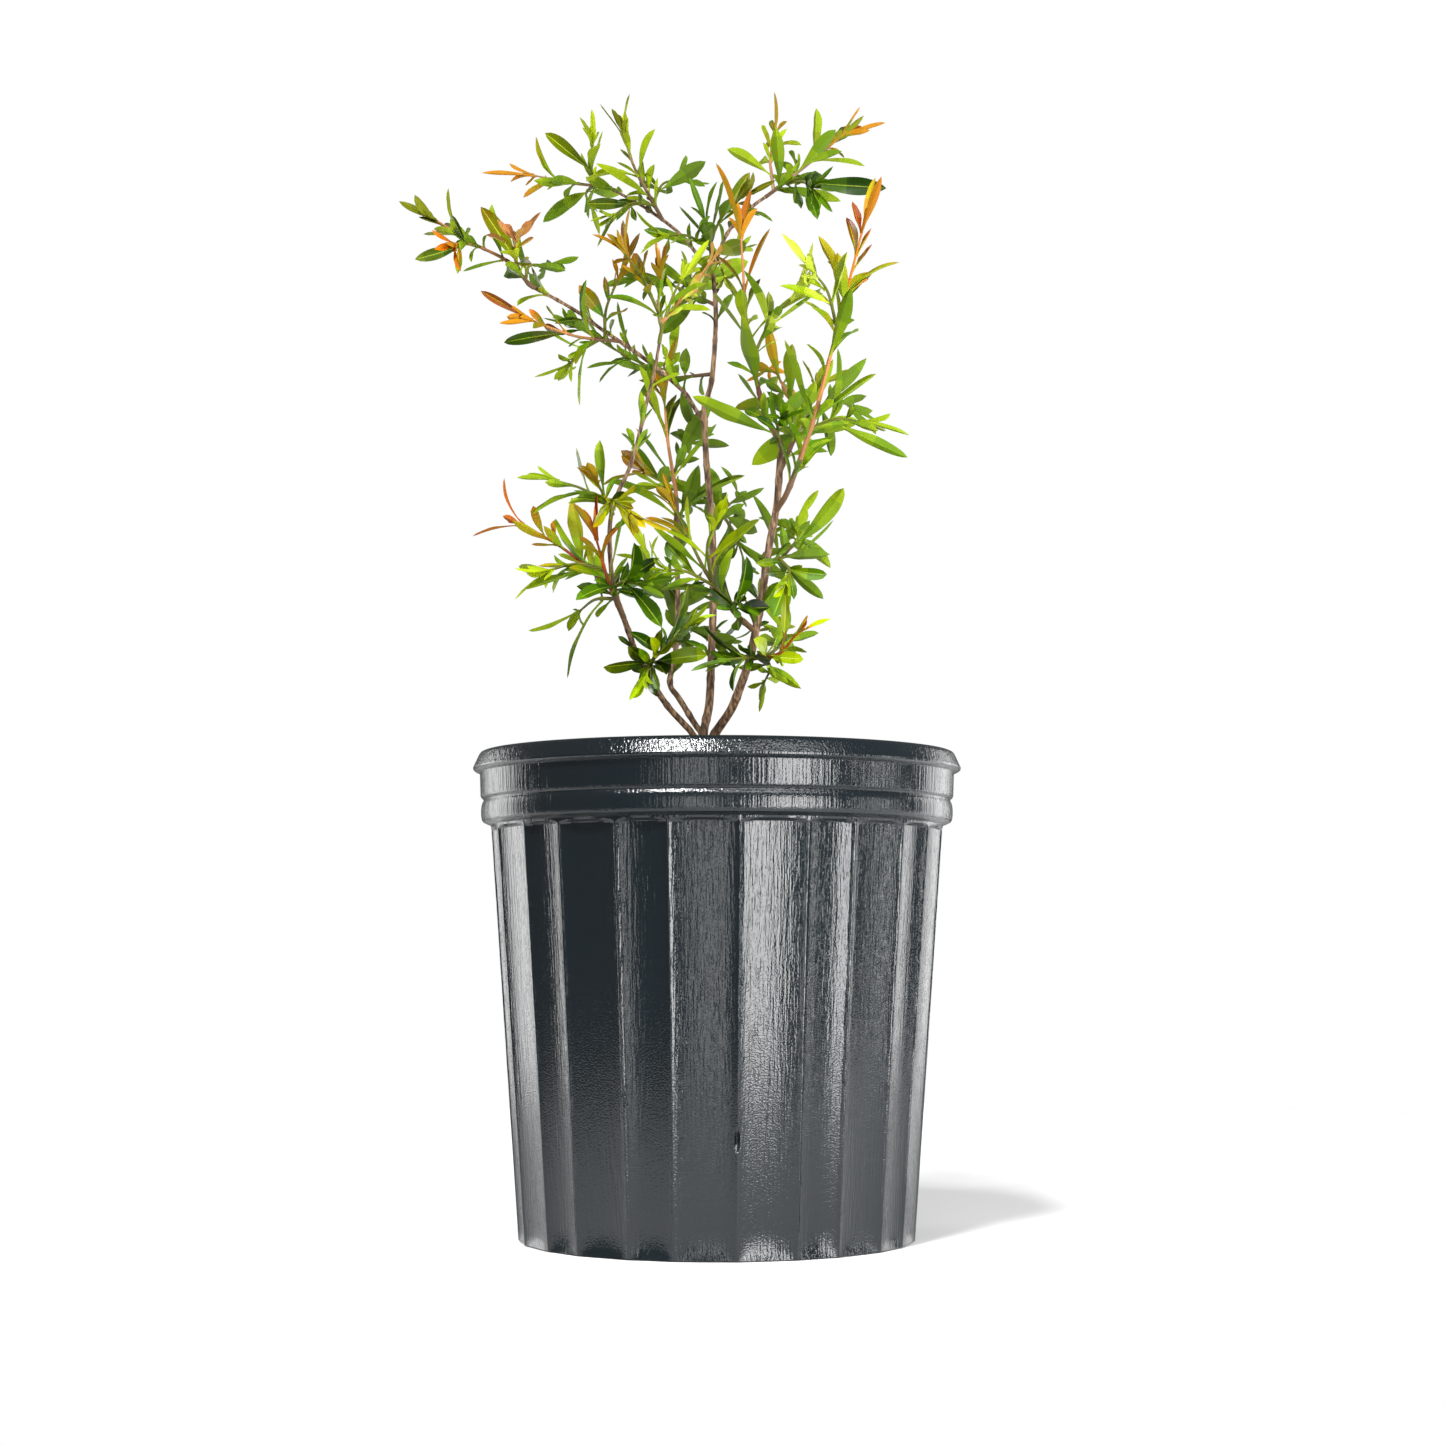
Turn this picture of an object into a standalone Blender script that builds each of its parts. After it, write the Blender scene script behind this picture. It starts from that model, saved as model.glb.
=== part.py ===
"""A young pomegranate tree in a fluted nursery pot: pot, soil, trunk, stems and boughs, and masses of foliage.

Sizes are in millimetres above the flat underside of the pot, and become metres when a mesh is made.
X runs to the right, Y away from the viewer and Z up, from the centre of the pot's underside.
"""

import math
import random

import bmesh
import bpy
from mathutils import Matrix, Quaternion, Vector
from mathutils.bvhtree import BVHTree

MM = 0.001
GAP = 0.3
SEED = 4199

# Pot
POT_HEIGHT = 260.0
SEAM_TURN = math.radians(5.4)
WIDE_FLUTE = math.radians(16.9)
NARROW_FLUTE = math.radians(13.1)
FLUTES_PER_HALF = 12
COLUMNS_PER_FLUTE = 3
FLUTE_DEPTH = 2.7
WALL = 4.6
FLOOR = 3.0
DRAIN_HOLES = 6
DRAIN_RADIUS = 6.0
DRAIN_CIRCLE = 80.0
# Each ring of the outside is (distance below the rim's top, radius, share of the flutes' depth)
OUTSIDE = (
    (260.0, 104.2, 0.3),
    (254.0, 105.6, 1.0),
    (43.5, 121.8, 1.0),
    (39.6, 122.0, 0.0),
    (37.3, 126.8, 0.0),
    (27.4, 127.1, 0.0),
    (25.6, 126.2, 0.0),
    (24.0, 127.7, 0.0),
    (11.0, 128.2, 0.0),
    (9.0, 131.8, 0.0),
    (1.5, 128.8, 0.0),
    (0.0, 127.0, 0.0),
)
# Each ring of the inside is (distance below the rim's top, radius)
INSIDE = ((0.0, 125.4), (28.0, 122.6), (41.0, 117.4))

# Soil
SOIL_TOP = 240.0
SOIL_MOUNDS = 1.6
SOIL_RINGS = 4
SOIL_COLUMNS = 33

# Trunk: a short stool that flares into the soil and forks into the stems
TRUNK_PLACE = (-7.0, 0.0)
TRUNK_PROFILE = ((0.0, 12.0), (2.5, 10.6), (8.0, 9.0), (16.0, 8.0), (23.0, 7.4), (28.0, 5.8), (30.0, 3.0))
TRUNK_SIDES = 10
FORK_HEIGHT = 258.0
STUB_LENGTH = 7.0
STUB_RADIUS = 4.2
STUB_COLLAR = 0.25

# Each limb is (parent, share of the parent's length where it leaves, points, radius at its foot, radius at its tip)
LIMBS = {
    "left_stem": (
        "trunk", 1.0, [(-18, -6, 276), (-28, -12, 287), (-41, -22, 307), (-47, -30, 323), (-52, -36, 337)], 2.1, 1.7,
    ),
    "second_stem": (
        "trunk", 1.0, [(-12, 9, 277), (-21, 14, 292), (-26, 19, 301), (-23, 26, 320), (-22, 34, 349), (-23, 40, 381)],
        2.0, 1.5,
    ),
    "centre_stem": (
        "trunk", 1.0,
        [(-6, -1, 278), (-4, 3, 290), (-3, 8, 318), (-2, 12, 352), (-3, 14, 391), (-6, 12, 424), (-7, 10, 450)],
        2.7, 1.9,
    ),
    "right_stem": (
        "trunk", 1.0,
        [(2, -8, 275), (8, -12, 284), (13, -18, 296), (18, -24, 311), (23, -30, 336), (28, -34, 369), (32, -36, 391),
         (34, -38, 417)],
        2.9, 2.1,
    ),
    "left_leader": (
        "left_stem", 1.0,
        [(-56, -38, 353), (-57, -40, 377), (-54, -40, 393), (-45, -42, 414), (-37, -44, 446), (-33, -46, 462),
         (-30, -48, 480)],
        1.6, 0.9,
    ),
    "centre_leader": ("centre_stem", 1.0, [(-3, 12, 469), (-1, 16, 496), (-1, 20, 516), (-3, 26, 540)], 1.7, 1.3),
    "left_bough": (
        "centre_stem", 0.97, [(-20, 2, 462), (-42, -14, 477), (-60, -30, 486), (-76, -42, 495), (-96, -58, 503)],
        1.4, 1.0,
    ),
    "upper_left_bough": ("centre_leader", 0.9, [(-20, 42, 559), (-39, 60, 579), (-62, 80, 598)], 1.3, 0.9),
    "upper_right_bough": ("centre_leader", 0.96, [(7, 40, 562), (20, 52, 579), (29, 60, 588)], 1.3, 1.0),
}
LIMB_SIDES = 6
LIMB_STEP = 14.0

# Each shoot of a mass is (parent, share of the parent's length where it leaves, points up to its tip, radius at its
# foot, share of it that is bare, pairs of leaves, length of a middle leaf, breadth of a leaf over its length).
# The first shoot is the mass's own stem, whose parent is a limb. The parent of the others is a shoot of the mass.
MASSES = {
    "low_left_foliage": (
        ("left_stem", 0.5, [(-32, -42, 309)], 1.4, 0.3, 3, 27, 0.3),
        (0, 0.6, [(-37, -54, 298)], 1.1, 0.2, 2, 25, 0.32),
        (0, 0.4, [(-16, -62, 322)], 1.0, 0.3, 3, 28, 0.27),
    ),
    "low_back_foliage": (
        ("second_stem", 0.45, [(-16, 80, 356)], 1.4, 0.25, 3, 33, 0.24),
        (0, 0.35, [(4, 72, 331)], 1.1, 0.3, 2, 30, 0.26),
        (0, 0.5, [(-38, 90, 378)], 1.1, 0.2, 2, 34, 0.22),
    ),
    "left_tuft_foliage": (
        ("left_stem", 0.9, [(-57, -53, 347), (-63, -62, 368)], 1.6, 0.2, 4, 31, 0.22),
        (0, 0.35, [(-84, -24, 370), (-106, -14, 384)], 1.3, 0.35, 3, 34, 0.2),
        (0, 0.15, [(-74, -18, 336)], 1.1, 0.3, 2, 40, 0.17),
        (0, 0.3, [(-41, -78, 342)], 1.1, 0.25, 3, 31, 0.27),
        (0, 0.6, [(-86, -62, 352)], 1.0, 0.3, 2, 30, 0.24),
    ),
    "middle_left_foliage": (
        ("left_leader", 0.33, [(-62, -62, 397)], 1.3, 0.25, 3, 27, 0.26),
        (0, 0.4, [(-46, -80, 380)], 1.1, 0.2, 3, 26, 0.22),
        (0, 0.3, [(-84, -44, 402)], 1.0, 0.4, 2, 28, 0.22),
    ),
    "crown_left_foliage": (
        ("left_leader", 1.0, [(-31, -55, 492), (-30, -64, 506)], 1.1, 0.35, 2, 33, 0.22),
        (0, 0.1, [(-19, -34, 514)], 1.0, 0.35, 2, 28, 0.24),
        (0, 0.2, [(-14, -24, 512), (-4, -8, 530)], 1.0, 0.45, 2, 17, 0.26),
        (0, 0.4, [(-48, -80, 516)], 1.0, 0.3, 2, 29, 0.26),
    ),
    "inner_left_foliage": (
        ("second_stem", 1.0, [(-23, 42, 407), (-28, 42, 441), (-30, 44, 466)], 1.6, 0.2, 4, 43, 0.21),
        (0, 0.3, [(-39, 22, 419)], 1.1, 0.4, 2, 36, 0.28),
        (0, 0.45, [(-12, 84, 452)], 1.1, 0.3, 3, 34, 0.22),
        (0, 0.12, [(-14, 86, 412)], 1.1, 0.3, 3, 33, 0.23),
    ),
    "crossing_foliage": (
        ("right_stem", 0.37, [(11, -36, 331), (-5, -44, 352), (-22, -50, 386)], 1.6, 0.12, 5, 34, 0.24),
        (0, 0.15, [(12, -68, 334)], 1.1, 0.3, 3, 26, 0.32),
        (0, 0.45, [(-2, -74, 372)], 1.1, 0.4, 2, 32, 0.22),
        (0, 0.4, [(-26, -62, 352)], 1.0, 0.35, 3, 28, 0.25),
    ),
    "far_left_foliage": (
        ("left_bough", 1.0, [(-110, -62, 516), (-127, -58, 526), (-150, -50, 542)], 1.2, 0.12, 5, 25, 0.23),
        (0, 0.15, [(-104, -88, 520)], 1.0, 0.3, 2, 30, 0.21),
        (0, 0.1, [(-93, -26, 524)], 1.0, 0.3, 2, 30, 0.22),
        (0, 0.55, [(-136, -82, 520)], 0.9, 0.4, 2, 28, 0.21),
    ),
    "left_pink_foliage": (
        ("left_bough", 0.52, [(-75, -50, 479), (-97, -64, 484)], 1.1, 0.3, 3, 31, 0.22),
        (0, 0.12, [(-52, -58, 508)], 1.0, 0.35, 2, 27, 0.28),
        (0, 0.2, [(-80, -16, 472)], 1.0, 0.4, 2, 28, 0.17),
    ),
    "back_left_foliage": (
        ("centre_leader", 0.25, [(-28, 52, 480), (-52, 72, 494)], 1.2, 0.35, 3, 31, 0.24),
        (0, 0.5, [(-30, 94, 500)], 1.0, 0.3, 2, 30, 0.24),
        (0, 0.6, [(-78, 44, 506)], 1.0, 0.4, 2, 30, 0.22),
    ),
    "back_high_foliage": (
        ("centre_leader", 0.7, [(-14, 64, 532), (-16, 90, 549)], 1.2, 0.4, 3, 31, 0.24),
        (0, 0.6, [(8, 104, 566)], 1.0, 0.3, 2, 30, 0.24),
        (0, 0.5, [(-44, 104, 552)], 1.0, 0.4, 2, 30, 0.24),
    ),
    "upper_left_foliage": (
        ("upper_left_bough", 1.0, [(-79, 88, 603), (-109, 100, 612)], 1.1, 0.2, 4, 31, 0.22),
        (0, 0.2, [(-73, 70, 621)], 1.0, 0.35, 2, 31, 0.26),
        (0, 0.25, [(-76, 118, 600)], 1.0, 0.35, 2, 29, 0.22),
    ),
    "upper_middle_foliage": (
        ("upper_left_bough", 0.52, [(-48, 52, 603), (-54, 46, 620)], 1.2, 0.25, 4, 33, 0.24),
        (0, 0.15, [(-22, 82, 604)], 1.0, 0.35, 2, 34, 0.24),
        (0, 0.12, [(-58, 30, 568)], 1.0, 0.35, 2, 33, 0.19),
    ),
    "knot_foliage": (
        ("centre_leader", 1.0, [(-6, 20, 560)], 1.1, 0.25, 3, 29, 0.26),
        (0, 0.3, [(-27, 2, 548)], 1.0, 0.35, 2, 32, 0.23),
        (0, 0.2, [(4, -10, 522)], 1.0, 0.4, 2, 24, 0.36),
        (0, 0.5, [(14, 2, 570)], 0.9, 0.4, 2, 28, 0.22),
    ),
    "upper_right_foliage": (
        ("upper_right_bough", 1.0, [(55, 72, 612), (75, 82, 632)], 1.2, 0.15, 5, 34, 0.24),
        (0, 0.08, [(31, 80, 617), (34, 94, 635)], 1.1, 0.25, 4, 31, 0.26),
        (0, 0.2, [(54, 38, 586)], 1.0, 0.35, 2, 38, 0.21),
        (0, 0.3, [(56, 112, 606)], 1.0, 0.35, 2, 32, 0.22),
    ),
    "right_centre_foliage": (
        ("right_stem", 1.0, [(26, -36, 439), (19, -30, 471), (16, -27, 492), (13, -28, 540)], 1.6, 0.1, 5, 42, 0.22),
        (0, 0.06, [(34, -62, 432)], 1.0, 0.35, 2, 27, 0.26),
        (0, 0.45, [(40, -46, 500)], 1.0, 0.5, 2, 34, 0.21),
    ),
    "right_fork_foliage": (
        ("right_stem", 0.94, [(47, -14, 442), (55, 6, 464)], 1.5, 0.35, 3, 34, 0.21),
        (0, 0.25, [(40, 40, 448)], 1.1, 0.3, 2, 31, 0.24),
        (0, 0.5, [(34, 62, 484), (30, 84, 492)], 1.1, 0.3, 3, 32, 0.24),
        (0, 0.6, [(76, 48, 462)], 1.0, 0.35, 2, 32, 0.22),
    ),
    "right_outer_foliage": (
        ("right_stem", 0.8, [(37, -46, 395), (50, -58, 429), (61, -70, 470), (76, -84, 528)], 1.6, 0.12, 5, 41, 0.23),
        (0, 0.3, [(76, -44, 434)], 1.0, 0.4, 2, 36, 0.17),
        (0, 0.65, [(50, -100, 500)], 1.0, 0.4, 2, 33, 0.22),
    ),
    "right_middle_foliage": (
        ("right_stem", 0.62, [(44, -16, 368)], 1.2, 0.3, 2, 36, 0.17),
        (0, 0.4, [(46, 26, 384), (44, 52, 394)], 1.1, 0.3, 3, 33, 0.22),
        (0, 0.3, [(36, -66, 344)], 1.0, 0.4, 2, 30, 0.28),
    ),
    "low_right_foliage": (
        ("right_stem", 0.27, [(33, -35, 311), (42, -46, 320)], 1.3, 0.2, 3, 24, 0.26),
        (0, 0.1, [(7, -52, 306)], 1.1, 0.35, 3, 27, 0.27),
        (0, 0.15, [(26, 4, 300)], 1.0, 0.3, 2, 28, 0.26),
        (0, 0.25, [(34, 40, 334)], 1.0, 0.3, 3, 32, 0.24),
    ),
    "back_middle_foliage": (
        ("centre_stem", 0.62, [(4, 46, 402), (12, 84, 416)], 1.3, 0.35, 3, 33, 0.23),
        (0, 0.35, [(16, 88, 378)], 1.1, 0.3, 3, 33, 0.23),
        (0, 0.55, [(-34, 92, 424)], 1.0, 0.35, 2, 32, 0.24),
    ),
}
TWIG_SIDES = 3
TWIG_STEP = 16.0
TWIG_TIP = 0.95
SOFT_START = 0.12

# Leaves sit in opposite pairs, each pair a quarter turn from the last
PAIR_TURN = math.radians(90.0)
TURN_JITTER = math.radians(24.0)
SPREAD_FOOT = math.radians(58.0)
SPREAD_TIP = math.radians(22.0)
SPREAD_JITTER = math.radians(11.0)
ROLL_JITTER = math.radians(38.0)
CURL_MIDDLE = math.radians(14.0)
CURL_JITTER = math.radians(30.0)
LENGTH_JITTER = 0.26
BREADTH_JITTER = 0.14
LEAF_STATIONS = ((0.0, 0.0), (0.4, 0.96), (0.74, 0.78), (1.0, 0.0))
PETIOLE = 0.3
NECK = 2.4
LAST_PAIR = 0.985
KEEL = 0.12
ROOM = 0.5
TRIES = (0.0, 22.0, -22.0, 44.0, -44.0, 66.0, -66.0)
LOWEST_LEAF = 252.0

COLOURS = {
    "pot": ((0.035, 0.045, 0.055), 0.42),
    "soil": ((0.07, 0.042, 0.026), 0.95),
    "bark": ((0.16, 0.1, 0.06), 0.8),
    "foliage": ((0.11, 0.24, 0.02), 0.5),
}


def clear_scene():
    for old in list(bpy.data.objects):
        bpy.data.objects.remove(old, do_unlink=True)


def new_collection(name):
    collection = bpy.data.collections.new(name)
    bpy.context.scene.collection.children.link(collection)
    return collection


def material(name, colour, roughness):
    made = bpy.data.materials.new(name)
    made.use_nodes = True
    shader = made.node_tree.nodes["Principled BSDF"]
    shader.inputs["Base Color"].default_value = (*colour, 1.0)
    shader.inputs["Roughness"].default_value = roughness
    shader.inputs["Metallic"].default_value = 0.0
    return made


def finish(obj, slot):
    """Gives the object its own material, in the colour of its slot."""
    obj.data.materials.clear()
    obj.data.materials.append(material(f"{obj.name}_{slot}", *COLOURS[slot]))


def mesh_object(name, points, faces, collection):
    mesh = bpy.data.meshes.new(name)
    mesh.from_pydata([Vector(point) * MM for point in points], [], faces)
    mesh.update()
    obj = bpy.data.objects.new(name, mesh)
    collection.objects.link(obj)
    return obj


def helper(obj):
    obj.hide_render = True
    obj.display_type = "WIRE"
    return obj


# Paths


def smooth_path(points, step):
    """A smooth curve through the points, with a place about every step."""
    ends = [points[0] * 2 - points[1], *points, points[-1] * 2 - points[-2]]
    path = [points[0]]
    for before, start, end, after in zip(ends, ends[1:], ends[2:], ends[3:]):
        count = max(1, round((end - start).length / step))
        for place in range(1, count + 1):
            t = place / count
            path.append(
                (
                    start * 2
                    + (end - before) * t
                    + (before * 2 - start * 5 + end * 4 - after) * t * t
                    + (start * 3 - before - end * 3 + after) * t * t * t
                )
                * 0.5
            )
    return path


def place_on(path, share):
    """The point and the direction at this share of the path's length."""
    spans = list(zip(path, path[1:]))
    left = share * sum((b - a).length for a, b in spans)
    for a, b in spans[:-1]:
        if left <= (b - a).length:
            return a.lerp(b, left / (b - a).length), (b - a).normalized()
        left -= (b - a).length
    a, b = spans[-1]
    return a.lerp(b, min(left / (b - a).length, 1.0)), (b - a).normalized()


def taper(path, foot, tip):
    """A radius for each point of the path, which changes evenly along its length."""
    far = [0.0]
    for a, b in zip(path, path[1:]):
        far.append(far[-1] + (b - a).length)
    return [foot + (tip - foot) * reach / far[-1] for reach in far]


def clear_start(parent, share, towards, radius):
    """Where a limb of this radius starts, so that its square foot just clears its parent, and its direction there."""
    place, along = place_on(parent["path"], share)
    if share == 1.0:
        return place + along * GAP, along
    heading = (towards - place).normalized()
    cosine = abs(heading.dot(along))
    sine = math.sqrt(1.0 - cosine * cosine)
    parent_radius = parent["foot"] + (parent["tip"] - parent["foot"]) * share
    return place + heading * ((parent_radius + GAP + radius * cosine) / sine), heading


# Tubes


def profile(name, sides, collection):
    """A ring of unit radius, in metres, that a curve is bevelled with."""
    data = bpy.data.curves.new(name, "CURVE")
    data.dimensions = "2D"
    spline = data.splines.new("POLY")
    spline.points.add(sides - 1)
    for number, point in enumerate(spline.points):
        angle = math.tau * number / sides
        point.co = (math.cos(angle) * MM, math.sin(angle) * MM, 0.0, 1.0)
    spline.use_cyclic_u = True
    obj = bpy.data.objects.new(name, data)
    collection.objects.link(obj)
    return helper(obj)


def tube(name, path, radii, ring, collection):
    """A tapering limb: a curve with filled ends, bevelled with the ring."""
    data = bpy.data.curves.new(name, "CURVE")
    data.dimensions = "3D"
    data.bevel_mode = "OBJECT"
    data.bevel_object = ring
    data.use_fill_caps = True
    spline = data.splines.new("POLY")
    spline.points.add(len(path) - 1)
    for point, place, radius in zip(spline.points, path, radii):
        point.co = (*(place * MM), 1.0)
        point.radius = radius
    obj = bpy.data.objects.new(name, data)
    collection.objects.link(obj)
    return obj


def as_mesh(obj, collection):
    """The same object as a mesh with its caps welded, in place of the curve."""
    name = obj.name
    graph = bpy.context.evaluated_depsgraph_get()
    mesh = bpy.data.meshes.new_from_object(obj.evaluated_get(graph))
    mesh.transform(obj.matrix_world)
    weld(mesh)
    bpy.data.objects.remove(obj, do_unlink=True)
    made = bpy.data.objects.new(name, mesh)
    collection.objects.link(made)
    return made


def weld(mesh):
    shape = bmesh.new()
    shape.from_mesh(mesh)
    bmesh.ops.remove_doubles(shape, verts=shape.verts, dist=1e-6)
    bmesh.ops.recalc_face_normals(shape, faces=shape.faces)
    shape.to_mesh(mesh)
    shape.free()


# Joining


def is_closed(mesh):
    shape = bmesh.new()
    shape.from_mesh(mesh)
    closed = bool(shape.faces) and all(edge.is_manifold for edge in shape.edges)
    shape.free()
    return closed


def keep_largest_piece(mesh):
    """Drops loose scraps, and the inner walls of any sealed hollow."""
    shape = bmesh.new()
    shape.from_mesh(mesh)
    bmesh.ops.triangulate(shape, faces=shape.faces)
    unseen = set(shape.faces)
    pieces = []
    while unseen:
        piece = [unseen.pop()]
        for face in piece:
            for edge in face.edges:
                for other in edge.link_faces:
                    if other in unseen:
                        unseen.remove(other)
                        piece.append(other)
        pieces.append(piece)
    pieces.sort(key=len, reverse=True)
    for piece in pieces[1:]:
        bmesh.ops.delete(shape, geom=piece, context="FACES")
    loose = [point for point in shape.verts if not point.link_faces]
    bmesh.ops.delete(shape, geom=loose, context="VERTS")
    shape.to_mesh(mesh)
    shape.free()


def combine(base, pieces, operation, collection):
    """Joins the pieces to the base, or cuts them from it, with one Boolean, and removes them."""
    graph = bpy.context.evaluated_depsgraph_get()
    boolean = base.modifiers.new("combined", "BOOLEAN")
    boolean.operation = operation
    boolean.operand_type = "COLLECTION"
    boolean.collection = pieces
    for solver in ("EXACT", "MANIFOLD"):
        boolean.solver = solver
        graph.update()
        mesh = bpy.data.meshes.new_from_object(base.evaluated_get(graph))
        keep_largest_piece(mesh)
        if is_closed(mesh):
            break
    name = base.name
    for obj in [*pieces.objects, base]:
        bpy.data.objects.remove(obj, do_unlink=True)
    bpy.data.collections.remove(pieces)
    made = bpy.data.objects.new(name, mesh)
    collection.objects.link(made)
    return made


# Pot and soil


def flute_columns():
    """The angle of each column of the pot's wall, from the seam round, and its share of the flutes' depth.

    Wide and narrow flutes take turns. They mirror each other about the seam.
    """
    angle = SEAM_TURN
    columns = []
    for half in range(2):
        for number in range(FLUTES_PER_HALF):
            width = WIDE_FLUTE if (number + half) % 2 == 0 else NARROW_FLUTE
            for column in range(COLUMNS_PER_FLUTE):
                across = column / COLUMNS_PER_FLUTE
                columns.append((angle + width * across, 4.0 * across * (1.0 - across)))
            angle += width
    return columns


def around(angle, radius, height):
    return (radius * math.sin(angle), -radius * math.cos(angle), height)


def bridge_rings(count, rings):
    return [
        (ring * count + a, ring * count + (a + 1) % count, (ring + 1) * count + (a + 1) % count, (ring + 1) * count + a)
        for ring in range(rings - 1)
        for a in range(count)
    ]


def make_pot(parts):
    columns = flute_columns()
    count = len(columns)
    points = []
    for below, radius, share in OUTSIDE:
        for angle, hollow in columns:
            points.append(around(angle, radius - FLUTE_DEPTH * share * hollow, POT_HEIGHT - below))
    inside = [*INSIDE, (POT_HEIGHT - FLOOR, OUTSIDE[1][1] - WALL)]
    for below, radius in inside:
        for angle, _hollow in columns:
            points.append(around(angle, radius, POT_HEIGHT - below))
    rings = len(OUTSIDE) + len(inside)
    faces = bridge_rings(count, rings)
    faces.append(tuple(reversed(range(count))))
    faces.append(tuple(range((rings - 1) * count, rings * count)))
    pot = mesh_object("pot", points, faces, parts)
    holes = new_collection("drain_holes")
    for number in range(DRAIN_HOLES):
        angle = math.tau * number / DRAIN_HOLES
        place = Vector(around(angle, DRAIN_CIRCLE, FLOOR / 2.0)) * MM
        bpy.ops.mesh.primitive_cylinder_add(
            vertices=8, radius=DRAIN_RADIUS * MM, depth=3.0 * FLOOR * MM, location=place
        )
        hole = bpy.context.object
        hole.name = f"drain_cutter_{number}"
        for collection in hole.users_collection:
            collection.objects.unlink(hole)
        holes.objects.link(helper(hole))
    pot = combine(pot, holes, "DIFFERENCE", parts)
    finish(pot, "pot")
    return pot


def make_soil(parts):
    """The potting mix that fills the pot, with a mounded top that is flat under the trunk."""
    draw = random.Random(SEED)
    below = POT_HEIGHT - SOIL_TOP
    rim_below, rim = INSIDE[0]
    wide_below, wide = INSIDE[1]
    narrow_below, narrow = INSIDE[2]
    foot = OUTSIDE[1][1] - WALL - GAP
    top = rim + (wide - rim) * (below - rim_below) / (wide_below - rim_below) - GAP
    levels = ((FLOOR + GAP, foot), (POT_HEIGHT - narrow_below, narrow - GAP), (POT_HEIGHT - wide_below, wide - GAP))
    points = []
    for height, radius in (*levels, (SOIL_TOP - SOIL_MOUNDS, top)):
        for column in range(SOIL_COLUMNS):
            points.append(around(math.tau * column / SOIL_COLUMNS, radius, height))
    flat = TRUNK_PROFILE[0][1] * 1.6
    for ring in range(1, SOIL_RINGS + 1):
        radius = top + (flat - top) * ring / SOIL_RINGS
        centre = Vector((*TRUNK_PLACE, 0.0)) * (ring / SOIL_RINGS)
        for column in range(SOIL_COLUMNS):
            height = SOIL_TOP
            if ring < SOIL_RINGS:
                height += draw.uniform(-SOIL_MOUNDS, SOIL_MOUNDS * 0.6)
            points.append(Vector(around(math.tau * column / SOIL_COLUMNS, radius, height)) + centre)
    rings = len(levels) + 1 + SOIL_RINGS
    faces = bridge_rings(SOIL_COLUMNS, rings)
    faces.append(tuple(reversed(range(SOIL_COLUMNS))))
    faces.append(tuple(range((rings - 1) * SOIL_COLUMNS, rings * SOIL_COLUMNS)))
    soil = mesh_object("soil", points, faces, parts)
    finish(soil, "soil")
    return soil


# Trunk and limbs


def make_trunk(rings, parts, helpers):
    """A turned stool with a stub for each stem, whose square end the stem's foot stands on."""
    bottom = SOIL_TOP + GAP
    outline = [(radius, 0.0, bottom + height) for height, radius in reversed(TRUNK_PROFILE)]
    outline.insert(0, (0.0, 0.0, outline[0][2] + 0.6))
    outline.append((0.0, 0.0, bottom))
    edges = [(number, number + 1) for number in range(len(outline) - 1)]
    mesh = bpy.data.meshes.new("trunk")
    mesh.from_pydata([Vector(point) * MM for point in outline], edges, [])
    turned = bpy.data.objects.new("trunk", mesh)
    helpers.objects.link(turned)
    screw = turned.modifiers.new("turn", "SCREW")
    screw.steps = TRUNK_SIDES
    screw.render_steps = TRUNK_SIDES
    screw.use_merge_vertices = True
    screw.merge_threshold = 0.0001
    turned.location = Vector((*TRUNK_PLACE, 0.0)) * MM
    graph = bpy.context.evaluated_depsgraph_get()
    solid = bpy.data.meshes.new_from_object(turned.evaluated_get(graph))
    solid.transform(Matrix.Translation(turned.location))
    weld(solid)
    bpy.data.objects.remove(turned, do_unlink=True)
    base = bpy.data.objects.new("trunk", solid)
    parts.objects.link(base)
    stubs = new_collection("trunk_stubs")
    core = Vector((*TRUNK_PLACE, FORK_HEIGHT))
    for name, (parent, _share, points, foot, _tip) in LIMBS.items():
        if parent != "trunk":
            continue
        start = Vector(points[0])
        along = (Vector(points[1]) - start).normalized()
        path = [core, start - along * STUB_LENGTH, start - along * GAP]
        radii = [STUB_RADIUS, foot + STUB_COLLAR * 3.0, foot + STUB_COLLAR]
        stub = tube(f"stub_of_{name}", path, radii, rings["limb"], helpers)
        stub = as_mesh(stub, helpers)
        helpers.objects.unlink(stub)
        stubs.objects.link(stub)
    trunk = combine(base, stubs, "UNION", parts)
    finish(trunk, "bark")
    return trunk


def make_limbs(rings, parts):
    limbs = {}
    for name, (parent, share, points, foot, tip) in LIMBS.items():
        points = [Vector(point) for point in points]
        if parent != "trunk":
            start, along = clear_start(limbs[parent], share, points[0], foot)
            points = [start, start + along * (foot * 2.0), *points]
        path = smooth_path(points, LIMB_STEP)
        obj = as_mesh(tube(name, path, taper(path, foot, tip), rings["limb"], parts), parts)
        finish(obj, "bark")
        limbs[name] = {"path": path, "foot": foot, "tip": tip}
    return limbs


# Foliage


def shoot_path(start, along, points):
    """Leaves the parent a little along its direction, and bends to the tip."""
    if len(points) == 1:
        reach = points[0] - start
        points = [start + reach * 0.5 + along * (reach.length * SOFT_START), points[0]]
    return smooth_path([start, *points], TWIG_STEP)


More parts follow.
